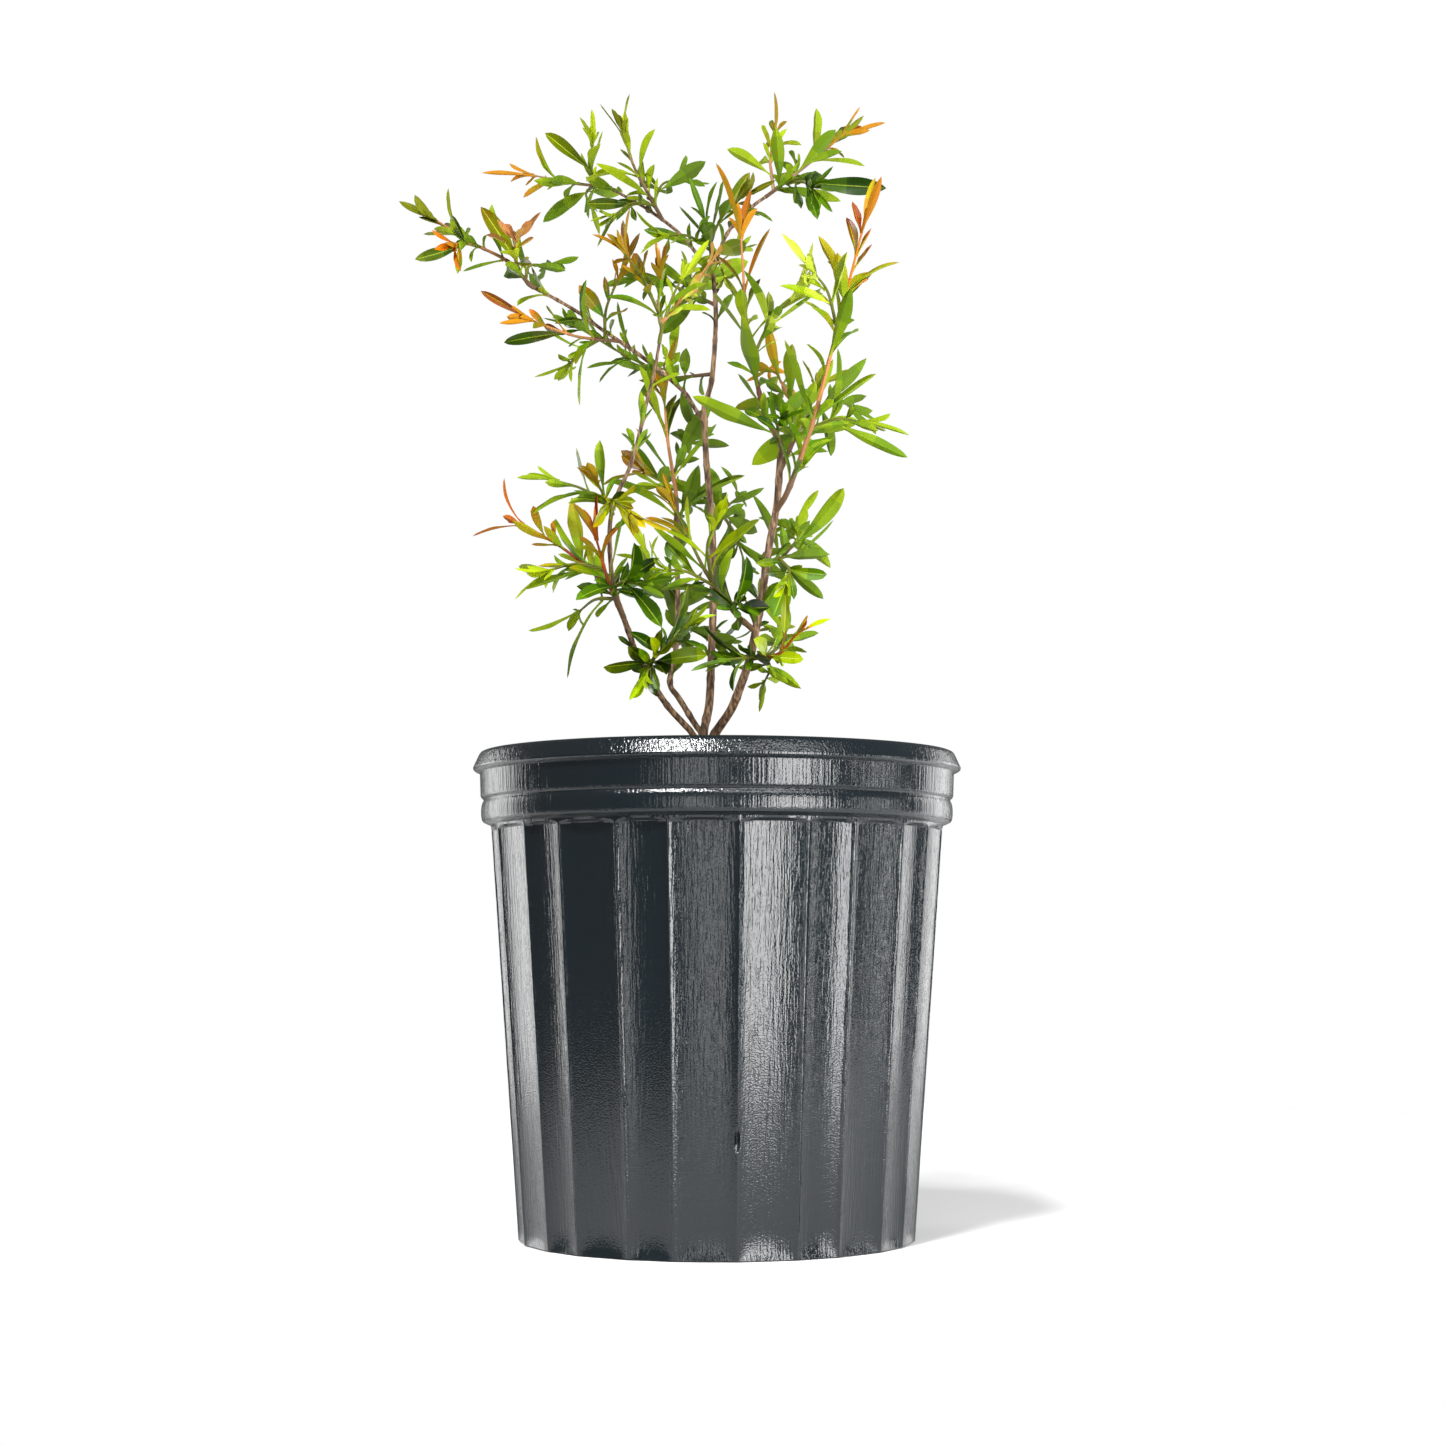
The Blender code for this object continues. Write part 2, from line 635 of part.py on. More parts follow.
def leaf_shape(root, along, face, length, breadth, curl, extra):
    """A keeled blade of three-cornered sections that bends away from its upper face."""
    across = along.cross(face)
    points = []
    for share, wide in LEAF_STATIONS:
        turn = curl * share
        place = root + length * (along * bent_sine(turn, share) - face * bent_rise(turn, share))
        up = face * math.cos(turn) + along * math.sin(turn)
        half = max(PETIOLE, breadth * 0.5 * wide) + extra
        keel = KEEL * half * 2.0 + PETIOLE * 0.5 + extra
        if share == 1.0:
            points.append(place)
        else:
            points += [place + across * half + up * keel * 0.4, place - across * half + up * keel * 0.4]
            points.append(place - up * keel * 0.6)
    faces = [(0, 2, 1)]
    for ring in range(len(LEAF_STATIONS) - 2):
        for a in range(3):
            b = (a + 1) % 3
            faces.append((ring * 3 + a, ring * 3 + b, ring * 3 + 3 + b, ring * 3 + 3 + a))
    last = (len(LEAF_STATIONS) - 2) * 3
    faces += [(last + a, last + (a + 1) % 3, last + 3) for a in range(3)]
    return points, faces


def bent_sine(turn, share):
    return share if abs(turn) < 1e-4 else math.sin(turn) / turn * share


def bent_rise(turn, share):
    return 0.0 if abs(turn) < 1e-4 else (1.0 - math.cos(turn)) / turn * share


def touches(shape, trees):
    points, faces = shape
    tested = BVHTree.FromPolygons([tuple(point) for point in points], faces)
    return any(tested.overlap(tree) for tree in trees)


def tree_of(shapes):
    points = []
    faces = []
    for shape_points, shape_faces in shapes:
        first = len(points)
        points += [tuple(point) for point in shape_points]
        faces += [tuple(first + corner for corner in face) for face in shape_faces]
    return BVHTree.FromPolygons(points, faces)


def shape_of(obj):
    """The evaluated mesh of the object, in millimetres."""
    graph = bpy.context.evaluated_depsgraph_get()
    mesh = bpy.data.meshes.new_from_object(obj.evaluated_get(graph))
    points = [obj.matrix_world @ vertex.co / MM for vertex in mesh.vertices]
    faces = [tuple(face.vertices) for face in mesh.polygons]
    bpy.data.meshes.remove(mesh)
    return points, faces


def leaf_draws(draw, share, length, breadth):
    """A leaf's spread, roll, curl, length and breadth at this share of its shoot."""
    size = 0.78 + 0.34 * math.sin(math.pi * min(1.0, 0.15 + share * 0.8))
    spread = SPREAD_FOOT + (SPREAD_TIP - SPREAD_FOOT) * share + draw.uniform(-1.0, 1.0) * SPREAD_JITTER
    roll = draw.uniform(-1.0, 1.0) * ROLL_JITTER
    curl = CURL_MIDDLE + draw.uniform(-1.0, 1.0) * CURL_JITTER
    long = length * size * (1.0 + draw.uniform(-1.0, 1.0) * LENGTH_JITTER)
    slender = 1.2 - 0.32 * share * share
    wide = long * breadth * slender * (1.0 + draw.uniform(-1.0, 1.0) * BREADTH_JITTER)
    return spread, roll, curl, long, wide


def leaves_on(path, bare, pairs, length, breadth, draw, trees, own):
    """Places opposite leaves along a shoot. One that would touch another node or leaf turns, or is left out."""
    kept = []
    first_turn = draw.uniform(0.0, math.tau)
    for pair in range(pairs):
        share = bare + (LAST_PAIR - bare) * (pair / (pairs - 1) if pairs > 1 else 1.0)
        place, along = place_on(path, share)
        side = along.cross(Vector((0.0, 0.0, 1.0))).normalized()
        for half in range(2):
            turn = first_turn + PAIR_TURN * pair + math.pi * half + draw.uniform(-1.0, 1.0) * TURN_JITTER
            spread, roll, curl, long, wide = leaf_draws(draw, share, length, breadth)
            for more in TRIES:
                outward = Quaternion(along, turn + math.radians(more)) @ side
                heading = along * math.cos(spread) + outward * math.sin(spread)
                face = along * math.sin(spread) - outward * math.cos(spread)
                face = Quaternion(heading, roll) @ face
                tested = leaf_shape(place, heading, face, long, wide, curl, ROOM)
                if min(point.z for point in tested[0]) < LOWEST_LEAF or touches(tested, trees):
                    continue
                blade = leaf_shape(place + heading * NECK, heading, face, long - NECK, wide, curl, 0.0)
                if touches(blade, [tree_of(own)]):
                    continue
                kept.append((place, heading, face, long, wide, curl))
                own.append(blade)
                break
    return kept


def make_twigs(name, shoots, limbs, trees, rings, helpers):
    """The mass's stem and the twigs that branch from it, each clear of every other node."""
    paths = []
    twigs = []
    for number, (parent, share, points, foot, *_leaves) in enumerate(shoots):
        points = [Vector(point) for point in points]
        if number == 0:
            start, along = clear_start(limbs[parent], share, points[0], foot)
            if share == 1.0:
                points = [start + along * (foot * 3.0), *points]
        else:
            start, along = place_on(paths[parent], share)
        path = shoot_path(start, along, points)
        twig = tube(f"{name}_twig_{number}", path, taper(path, foot, TWIG_TIP), rings["twig"], helpers)
        twig = as_mesh(twig, helpers)
        if touches(shape_of(twig), trees):
            raise ValueError(f"{name}: shoot {number} touches another node, so its points have to move")
        paths.append(path)
        twigs.append(twig)
    return paths, twigs


def make_mass(name, shoots, paths, twigs, trees, parts, helpers):
    """The stem with its twigs and leaves, joined into one solid that keeps clear of every other node."""
    draw = random.Random(f"{SEED}-{name}")
    pieces = new_collection(f"{name}_pieces")
    own = [shape_of(twig) for twig in twigs]
    for number, (shoot, path) in enumerate(zip(shoots, paths)):
        bare, pairs, length, breadth = shoot[4:]
        for leaf in leaves_on(path, bare, pairs, length, breadth, draw, trees, own):
            weld(mesh_object(f"{name}_leaf_{number}", *leaf_shape(*leaf, 0.0), pieces).data)
    for twig in twigs:
        helpers.objects.unlink(twig)
    for twig in twigs[1:]:
        pieces.objects.link(twig)
    base = twigs[0]
    base.name = name
    parts.objects.link(base)
    mass = combine(base, pieces, "UNION", parts)
    finish(mass, "foliage")


def main():
    clear_scene()
    parts = new_collection("pomegranate_tree")
    helpers = new_collection("guides_and_cutters")
    rings = {"limb": profile("limb_ring", LIMB_SIDES, helpers), "twig": profile("twig_ring", TWIG_SIDES, helpers)}
    solids = [make_pot(parts), make_soil(parts), make_trunk(rings, parts, helpers)]
    limbs = make_limbs(rings, parts)
    solids += [bpy.data.objects[name] for name in limbs]
    trees = [tree_of([shape_of(solid)]) for solid in solids]
    grown = {}
    twig_trees = {}
    for name, shoots in MASSES.items():
        grown[name] = make_twigs(name, shoots, limbs, [*trees, *twig_trees.values()], rings, helpers)
        twig_trees[name] = tree_of([shape_of(twig) for twig in grown[name][1]])
    for name, shoots in MASSES.items():
        others = [tree for other, tree in twig_trees.items() if other != name]
        make_mass(name, shoots, *grown[name], [*trees, *others], parts, helpers)
        twig_trees[name] = tree_of([shape_of(bpy.data.objects[name])])


main()
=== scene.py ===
"""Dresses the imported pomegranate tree: fluted pot, potting mix, bark, twigs and leaves.

Lengths are in millimetres, in the frame's own axes, and become metres when a mesh is made.
"""

import math
import random

import bmesh
import bpy
from mathutils import Matrix, Quaternion, Vector, noise
from mathutils.bvhtree import BVHTree


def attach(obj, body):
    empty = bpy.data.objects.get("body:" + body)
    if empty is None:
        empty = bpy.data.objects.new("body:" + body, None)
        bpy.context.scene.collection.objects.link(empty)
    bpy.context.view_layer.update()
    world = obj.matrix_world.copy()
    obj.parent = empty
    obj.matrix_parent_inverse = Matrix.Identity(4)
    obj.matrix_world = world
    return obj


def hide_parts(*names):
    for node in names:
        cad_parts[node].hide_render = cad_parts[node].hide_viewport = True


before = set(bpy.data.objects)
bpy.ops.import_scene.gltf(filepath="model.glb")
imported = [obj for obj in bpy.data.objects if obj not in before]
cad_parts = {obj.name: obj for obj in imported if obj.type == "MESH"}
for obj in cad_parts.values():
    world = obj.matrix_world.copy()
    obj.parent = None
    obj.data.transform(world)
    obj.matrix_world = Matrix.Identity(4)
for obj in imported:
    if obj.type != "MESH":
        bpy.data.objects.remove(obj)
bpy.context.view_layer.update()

MM = 0.001
GAP = 0.3
SEED = 4199
UP = Vector((0.0, 0.0, 1.0))
SHARP_EDGE = math.radians(32.0)

# Camera: its place from the pot's axis in metres, and its view in the photograph's pixels
CAMERA_PLACE = (0.003, -1.4, 0.155)
PHOTO_SIDE = 1445.0
FOCAL_PIXELS = 2583.0
HORIZON_ROW = 948.0
SENSOR = 36.0

# Stage: each soft box is (name, place, target, width and height, power), in metres and watts
FLOOR_RADIUS = 0.85
FLOOR_PLACE = (0.15, 0.35, 0.0)
FLOOR_SIDES = 96
FLOOR_COLOUR = (0.92, 0.92, 0.92)
# The surround's brightness as (height, colour), from the horizon up
SURROUND = ((0.0, (0.2, 0.2, 0.2)), (0.9, (0.24, 0.24, 0.24)))
SUN_PLACE = (-0.35, -0.75, 1.0)
SUN_POWER = 3.6
SUN_ANGLE = math.radians(10.0)
POT_MIDDLE = (0.0, 0.0, 0.12)
SOFT_BOXES = (
    ("right_light", (0.66, -0.94, 0.06), POT_MIDDLE, (0.44, 0.95), 18.8),
    ("side_light", (1.1, -0.2, 0.05), POT_MIDDLE, (0.12, 0.9), 3.3),
    ("back_right_light", (0.9, 0.75, 0.15), POT_MIDDLE, (0.6, 1.0), 7.0),
    ("back_left_light", (-0.9, 0.63, 0.15), POT_MIDDLE, (0.6, 1.0), 7.0),
    ("front_light", (-0.2, -1.2, 0.05), POT_MIDDLE, (0.3, 0.9), 3.2),
    ("top_light", (0.45, -0.85, 1.0), (0.0, -0.1, 0.26), (0.9, 0.3), 6.0),
)

# Pot: flutes between the foot and the rim
POT_HEIGHT = 260.0
SEAM_TURN = math.radians(5.4)
WIDE_FLUTE = math.radians(16.9)
NARROW_FLUTE = math.radians(13.1)
FLUTES_PER_HALF = 12
COLUMNS_PER_FLUTE = 22
FLUTE_DEPTH = 3.1
FLUTE_POWER = 0.78
FLUTE_ARCH = 1.2
FLUTE_FADE = 1.8
FLUTE_TOP_RINGS = (9.0, 6.0, 4.5, 3.6, 3.0, 2.4, 1.9, 1.4, 0.9, 0.4)
RIDGE_STEP = 0.5
RIDGE_ROUND = 1.3
SEAM_PROUD = 0.16
STREAK = 0.09
STREAK_PITCH = 110.0
STREAK_RISE = 0.004
FOOT_RADIUS = 105.8
FOOT_ROUND = 1.7
FOOT_RINGS = (0.6, 2.0, 6.0)
FOOT_FLUTE = 0.3
FOOT_FADE = 0.12
BODY_TOP = 40.0
BODY_RADIUS = 121.95
BODY_RINGS = 17
BODY_PITCH = 12.0
# The slit low in the front seam, whose rings are distances below the rim's top
SLIT_RINGS = (206.5, 204.5, 202.0, 199.5, 197.0, 195.0, 193.0)
SLIT_HALF = 1.7
SLIT_EDGE = 0.5
SLIT_DEPTH = 1.6
FLOOR = 3.0
# The rim's outline and the inside of the wall, as (distance below the rim's top, radius)
RIM = (
    (39.3, 122.1), (38.5, 124.2), (37.5, 126.3), (36.3, 127.0), (34.0, 127.35), (31.0, 127.4), (28.6, 127.1),
    (27.3, 126.7), (26.6, 126.2), (25.8, 126.1), (25.1, 126.5), (24.4, 127.4), (23.4, 127.75), (17.8, 127.95),
    (12.1, 128.15), (11.2, 128.4), (10.6, 129.6), (10.0, 131.0), (9.3, 131.75), (8.4, 131.9), (6.8, 131.2),
    (4.4, 130.1), (2.4, 129.2), (1.2, 128.6), (0.4, 127.9), (0.02, 127.0), (0.1, 126.2), (0.6, 125.5),
)
INNER = ((4.0, 125.0), (12.0, 124.4), (28.0, 122.6), (41.0, 117.4), (POT_HEIGHT - FLOOR, 101.2))
DRAIN_HOLES = 6
DRAIN_RADIUS = 6.0
DRAIN_CIRCLE = 80.0
DRAIN_SIDES = 32

# Potting mix: its side as (height, radius), then its top
SOIL_SIDE = ((FLOOR + GAP, 100.7), (POT_HEIGHT - 41.0, 117.1), (POT_HEIGHT - 28.0, 122.3))
SOIL_TOP = 240.0
SOIL_RADIUS = 122.9
SOIL_FLAT = 15.0
SOIL_BLEND = 12.0
SOIL_LOWER = 0.35
# The swells and the smaller lumps of its top, each (scale, height)
SOIL_SWELLS = (0.05, 1.1)
SOIL_LUMPS = (0.24, 0.8)
SOIL_COLUMNS = 96
SOIL_RINGS = 40
LUMP_CIRCLE = 0.97
LUMP_TILT = 0.5
LUMP_ROUGH = (0.75, 1.15)
# Lumps on the mix: colour, number, and the least and greatest half length, breadth and depth
CRUMB = ((0.7, 2.8), (0.6, 2.2), (0.45, 1.5))
BARK_CHIP = ((2.0, 6.0), (0.8, 2.0), (0.4, 1.0))
PERLITE = ((0.8, 2.0), (0.8, 1.8), (0.6, 1.4))
LUMPS = (
    ("soil", 1500, CRUMB),
    ("dark", 3000, CRUMB),
    ("chip", 130, BARK_CHIP),
    ("straw", 130, BARK_CHIP),
    ("perlite", 150, PERLITE),
)

# Trunk: a short stool that flares into the soil and forks into the stems
TRUNK_PLACE = (-7.0, 0.0)
TRUNK_PROFILE = ((0.0, 12.0), (2.5, 10.6), (8.0, 9.0), (16.0, 8.0), (23.0, 7.4), (28.0, 5.8), (30.0, 3.0))
TRUNK_SIDES = 48
TRUNK_STEP = 0.75
TRUNK_RIDGE = 0.16
TRUNK_RIDGES_AROUND = 1.7
TRUNK_RIDGES_ALONG = 0.02
FORK_HEIGHT = 258.0
STUB_LENGTH = 7.0

# Each limb is (parent, share of the parent's length where it leaves, points, radius at its foot and its tip)
LIMBS = {
    "left_stem": (
        "trunk", 1.0, [(-18, -6, 276), (-28, -12, 287), (-41, -22, 307), (-47, -30, 323),
        (-52, -36, 337)], 2.1, 1.7,
    ),
    "second_stem": (
        "trunk", 1.0, [(-12, 9, 277), (-21, 14, 292), (-26, 19, 301), (-23, 26, 320), (-22, 34, 349),
        (-23, 40, 381)], 2.0, 1.5,
    ),
    "centre_stem": (
        "trunk", 1.0, [(-6, -1, 278), (-4, 3, 290), (-3, 8, 318), (-2, 12, 352), (-3, 14, 391),
        (-6, 12, 424), (-7, 10, 450)], 2.7, 1.9,
    ),
    "right_stem": (
        "trunk", 1.0, [(2, -8, 275), (8, -12, 284), (13, -18, 296), (18, -24, 311), (23, -30, 336),
        (28, -34, 369), (32, -36, 391), (34, -38, 417)], 2.9, 2.1,
    ),
    "left_leader": (
        "left_stem", 1.0, [(-56, -38, 353), (-57, -40, 377), (-54, -40, 393), (-45, -42, 414),
        (-37, -44, 446), (-33, -46, 462), (-30, -48, 480)], 1.6, 0.9,
    ),
    "centre_leader": (
        "centre_stem", 1.0, [(-3, 12, 469), (-1, 16, 496), (-1, 20, 516), (-3, 26, 540)], 1.7, 1.3,
    ),
    "left_bough": (
        "centre_stem", 0.97, [(-20, 2, 462), (-42, -14, 477), (-60, -30, 486), (-76, -42, 495),
        (-96, -58, 503)], 1.4, 1.0,
    ),
    "upper_left_bough": (
        "centre_leader", 0.9, [(-20, 42, 559), (-39, 60, 579), (-62, 80, 598)], 1.3, 0.9,
    ),
    "upper_right_bough": (
        "centre_leader", 0.96, [(7, 40, 562), (20, 52, 579), (29, 60, 588)], 1.3, 1.0,
    ),
}
LIMB_STEP = 14.0

# Each shoot of a mass is (parent, share of the parent's length where it leaves, points up to its tip, radius
# at its foot, bare share of it, pairs of leaves, length of a middle leaf, breadth of a leaf over its length,
# tones of its bark and of its leaves, each from foot to tip).
# The first shoot is the mass's own stem, whose parent is a limb. The others' parent is a shoot of the mass.
MASSES = {
    "low_left": (
        ("left_stem", 0.5, [(-32, -42, 309)], 1.4, 0.3, 3, 27, 0.3, "wood moss, deep fresh lime"),
        (0, 0.6, [(-37, -54, 298)], 1.1, 0.2, 2, 25, 0.32, "moss, leaf fresh"),
        (0, 0.4, [(-16, -62, 322)], 1.0, 0.3, 3, 28, 0.27, "moss, deep leaf fresh"),
    ),
    "low_back": (
        ("second_stem", 0.45, [(-16, 80, 356)], 1.4, 0.25, 3, 33, 0.24, "wood moss, deep leaf"),
        (0, 0.35, [(4, 72, 331)], 1.1, 0.3, 2, 30, 0.26, "moss, deep"),
        (0, 0.5, [(-38, 90, 378)], 1.1, 0.2, 2, 34, 0.22, "moss, deep leaf fresh"),
    ),
    "left_tuft": (
        ("left_stem", 0.9, [(-57, -53, 347), (-63, -62, 368)],
         1.6, 0.2, 4, 31, 0.22, "wood rust, leaf olive bronze red"),
        (0, 0.35, [(-84, -24, 370), (-106, -14, 384)],
         1.3, 0.35, 3, 34, 0.2, "maroon rust, fresh gold orange red"),
        (0, 0.15, [(-74, -18, 336)], 1.1, 0.3, 2, 40, 0.17, "moss, leaf fresh"),
        (0, 0.3, [(-41, -78, 342)], 1.1, 0.25, 3, 31, 0.27, "moss, deep leaf"),
        (0, 0.6, [(-86, -62, 352)], 1.0, 0.3, 2, 30, 0.24, "moss, leaf fresh lime"),
    ),
    "middle_left": (
        ("left_leader", 0.33, [(-62, -62, 397)], 1.3, 0.25, 3, 27, 0.26, "moss, leaf fresh bronze"),
        (0, 0.4, [(-46, -80, 380)], 1.1, 0.2, 3, 26, 0.22, "moss, lime gold"),
        (0, 0.3, [(-84, -44, 402)], 1.0, 0.4, 2, 28, 0.22, "moss, leaf fresh"),
    ),
    "crown_left": (
        ("left_leader", 1.0, [(-31, -55, 492), (-30, -64, 506)],
         1.1, 0.35, 2, 33, 0.22, "moss tan, leaf fresh bronze"),
        (0, 0.1, [(-19, -34, 514)], 1.0, 0.35, 2, 28, 0.24, "moss, fresh lime"),
        (0, 0.2, [(-14, -24, 512), (-4, -8, 530)], 1.0, 0.45, 2, 17, 0.26, "pink, pale pink"),
        (0, 0.4, [(-48, -80, 516)], 1.0, 0.3, 2, 29, 0.26, "moss, olive bronze"),
    ),
    "inner_left": (
        ("second_stem", 1.0, [(-23, 42, 407), (-28, 42, 441), (-30, 44, 466)],
         1.6, 0.2, 4, 43, 0.21, "wood pink, leaf fresh olive bronze"),
        (0, 0.3, [(-39, 22, 419)], 1.1, 0.4, 2, 36, 0.28, "moss, leaf olive bronze"),
        (0, 0.45, [(-12, 84, 452)], 1.1, 0.3, 3, 34, 0.22, "moss, deep leaf"),
        (0, 0.12, [(-14, 86, 412)], 1.1, 0.3, 3, 33, 0.23, "moss, deep leaf"),
    ),
    "crossing": (
        ("right_stem", 0.37, [(11, -36, 331), (-5, -44, 352), (-22, -50, 386)],
         1.6, 0.12, 5, 34, 0.24, "wood moss, leaf fresh olive bronze"),
        (0, 0.15, [(12, -68, 334)], 1.1, 0.3, 3, 26, 0.32, "moss, deep leaf"),
        (0, 0.45, [(-2, -74, 372)], 1.1, 0.4, 2, 32, 0.22, "moss, fresh lime"),
        (0, 0.4, [(-26, -62, 352)], 1.0, 0.35, 3, 28, 0.25, "moss, leaf fresh"),
    ),
    "far_left": (
        ("left_bough", 1.0, [(-110, -62, 516), (-127, -58, 526), (-150, -50, 542)],
         1.2, 0.12, 5, 25, 0.23, "wood pink, leaf fresh olive"),
        (0, 0.15, [(-104, -88, 520)], 1.0, 0.3, 2, 30, 0.21, "moss pink, lime gold pink"),
        (0, 0.1, [(-93, -26, 524)], 1.0, 0.3, 2, 30, 0.22, "moss, deep leaf"),
        (0, 0.55, [(-136, -82, 520)], 0.9, 0.4, 2, 28, 0.21, "moss pink, leaf fresh orange"),
    ),
    "left_pink": (
        ("left_bough", 0.52, [(-75, -50, 479), (-97, -64, 484)],
         1.1, 0.3, 3, 31, 0.22, "wood pink, leaf olive orange"),
        (0, 0.12, [(-52, -58, 508)], 1.0, 0.35, 2, 27, 0.28, "moss, leaf bronze"),
        (0, 0.2, [(-80, -16, 472)], 1.0, 0.4, 2, 28, 0.17, "moss, leaf fresh"),
    ),
    "back_left": (
        ("centre_leader", 0.25, [(-28, 52, 480), (-52, 72, 494)],
         1.2, 0.35, 3, 31, 0.24, "wood moss, deep leaf"),
        (0, 0.5, [(-30, 94, 500)], 1.0, 0.3, 2, 30, 0.24, "moss, leaf fresh"),
        (0, 0.6, [(-78, 44, 506)], 1.0, 0.4, 2, 30, 0.22, "moss, deep leaf"),
    ),
    "back_high": (
        ("centre_leader", 0.7, [(-14, 64, 532), (-16, 90, 549)],
         1.2, 0.4, 3, 31, 0.24, "wood moss, deep leaf fresh"),
        (0, 0.6, [(8, 104, 566)], 1.0, 0.3, 2, 30, 0.24, "moss, leaf fresh"),
        (0, 0.5, [(-44, 104, 552)], 1.0, 0.4, 2, 30, 0.24, "moss, deep leaf"),
    ),
    "upper_left": (
        ("upper_left_bough", 1.0, [(-79, 88, 603), (-109, 100, 612)],
         1.1, 0.2, 4, 31, 0.22, "wood tan, leaf fresh gold orange"),
        (0, 0.2, [(-73, 70, 621)], 1.0, 0.35, 2, 31, 0.26, "moss, fresh lime"),
        (0, 0.25, [(-76, 118, 600)], 1.0, 0.35, 2, 29, 0.22, "moss, leaf fresh"),
    ),
    "upper_middle": (
        ("upper_left_bough", 0.52, [(-48, 52, 603), (-54, 46, 620)],
         1.2, 0.25, 4, 33, 0.24, "wood tan, fresh lime olive"),
        (0, 0.15, [(-22, 82, 604)], 1.0, 0.35, 2, 34, 0.24, "moss, deep leaf"),
        (0, 0.12, [(-58, 30, 568)], 1.0, 0.35, 2, 33, 0.19, "moss, leaf fresh"),
    ),
    "knot": (
        ("centre_leader", 1.0, [(-6, 20, 560)], 1.1, 0.25, 3, 29, 0.26, "wood moss, deep leaf"),
        (0, 0.3, [(-27, 2, 548)], 1.0, 0.35, 2, 32, 0.23, "moss, leaf fresh"),
        (0, 0.2, [(4, -10, 522)], 1.0, 0.4, 2, 24, 0.36, "moss, fresh pale"),
        (0, 0.5, [(14, 2, 570)], 0.9, 0.4, 2, 28, 0.22, "moss, leaf olive"),
    ),
    "upper_right": (
        ("upper_right_bough", 1.0, [(55, 72, 612), (75, 82, 632)],
         1.2, 0.15, 5, 34, 0.24, "wood tan, leaf fresh olive orange"),
        (0, 0.08, [(31, 80, 617), (34, 94, 635)], 1.1, 0.25, 4, 31, 0.26, "tan pink, fresh lime bronze"),
        (0, 0.2, [(54, 38, 586)], 1.0, 0.35, 2, 38, 0.21, "moss, deep leaf"),
        (0, 0.3, [(56, 112, 606)], 1.0, 0.35, 2, 32, 0.22, "moss, deep leaf"),
    ),
    "right_centre": (
        ("right_stem", 1.0, [(26, -36, 439), (19, -30, 471), (16, -27, 492), (13, -28, 540)],
         1.6, 0.1, 5, 42, 0.22, "wood maroon pink, leaf fresh olive bronze orange"),
        (0, 0.06, [(34, -62, 432)], 1.0, 0.35, 2, 27, 0.26, "moss, deep leaf"),
        (0, 0.45, [(40, -46, 500)], 1.0, 0.5, 2, 34, 0.21, "moss, leaf pale"),
    ),
    "right_fork": (
        ("right_stem", 0.94, [(47, -14, 442), (55, 6, 464)],
         1.5, 0.35, 3, 34, 0.21, "wood tan, leaf fresh olive"),
        (0, 0.25, [(40, 40, 448)], 1.1, 0.3, 2, 31, 0.24, "moss, leaf fresh"),
        (0, 0.5, [(34, 62, 484), (30, 84, 492)], 1.1, 0.3, 3, 32, 0.24, "tan rust, leaf olive orange"),
        (0, 0.6, [(76, 48, 462)], 1.0, 0.35, 2, 32, 0.22, "moss, deep leaf"),
    ),
    "right_outer": (
        ("right_stem", 0.8, [(37, -46, 395), (50, -58, 429), (61, -70, 470), (76, -84, 528)],
         1.6, 0.12, 5, 41, 0.23, "wood pink orange, leaf fresh gold rust"),
        (0, 0.3, [(76, -44, 434)], 1.0, 0.4, 2, 36, 0.17, "moss, leaf fresh"),
        (0, 0.65, [(50, -100, 500)], 1.0, 0.4, 2, 33, 0.22, "moss, fresh pale"),
    ),
    "right_middle": (
        ("right_stem", 0.62, [(44, -16, 368)], 1.2, 0.3, 2, 36, 0.17, "moss, deep leaf"),
        (0, 0.4, [(46, 26, 384), (44, 52, 394)], 1.1, 0.3, 3, 33, 0.22, "wood moss, leaf fresh"),
        (0, 0.3, [(36, -66, 344)], 1.0, 0.4, 2, 30, 0.28, "moss, leaf fresh lime"),
    ),
    "low_right": (
        ("right_stem", 0.27, [(33, -35, 311), (42, -46, 320)],
         1.3, 0.2, 3, 24, 0.26, "wood rust, fresh lime orange"),
        (0, 0.1, [(7, -52, 306)], 1.1, 0.35, 3, 27, 0.27, "moss, deep leaf"),
        (0, 0.15, [(26, 4, 300)], 1.0, 0.3, 2, 28, 0.26, "moss, leaf fresh"),
        (0, 0.25, [(34, 40, 334)], 1.0, 0.3, 3, 32, 0.24, "moss, leaf fresh olive"),
    ),
    "back_middle": (
        ("centre_stem", 0.62, [(4, 46, 402), (12, 84, 416)],
         1.3, 0.35, 3, 33, 0.23, "wood moss, deep leaf"),
        (0, 0.35, [(16, 88, 378)], 1.1, 0.3, 3, 33, 0.23, "moss, deep leaf"),
        (0, 0.55, [(-34, 92, 424)], 1.0, 0.35, 2, 32, 0.24, "moss, leaf fresh"),
    ),
}

# Guides round the twigs: their sides, the distance between their rings, and their radius at the tip
TWIG_SIDES = 3
TWIG_STEP = 16.0
TWIG_TIP = 0.95
# The share of its reach that a shoot first goes along its parent
SOFT_START = 0.12
# How many of its radii a twig or a limb goes straight on from its parent's tip or side
TWIG_START = 3.0
LIMB_START = 2.0
# The last share of a parent's length at which the fine bark starts inside it
LAST_ROOT = 0.97

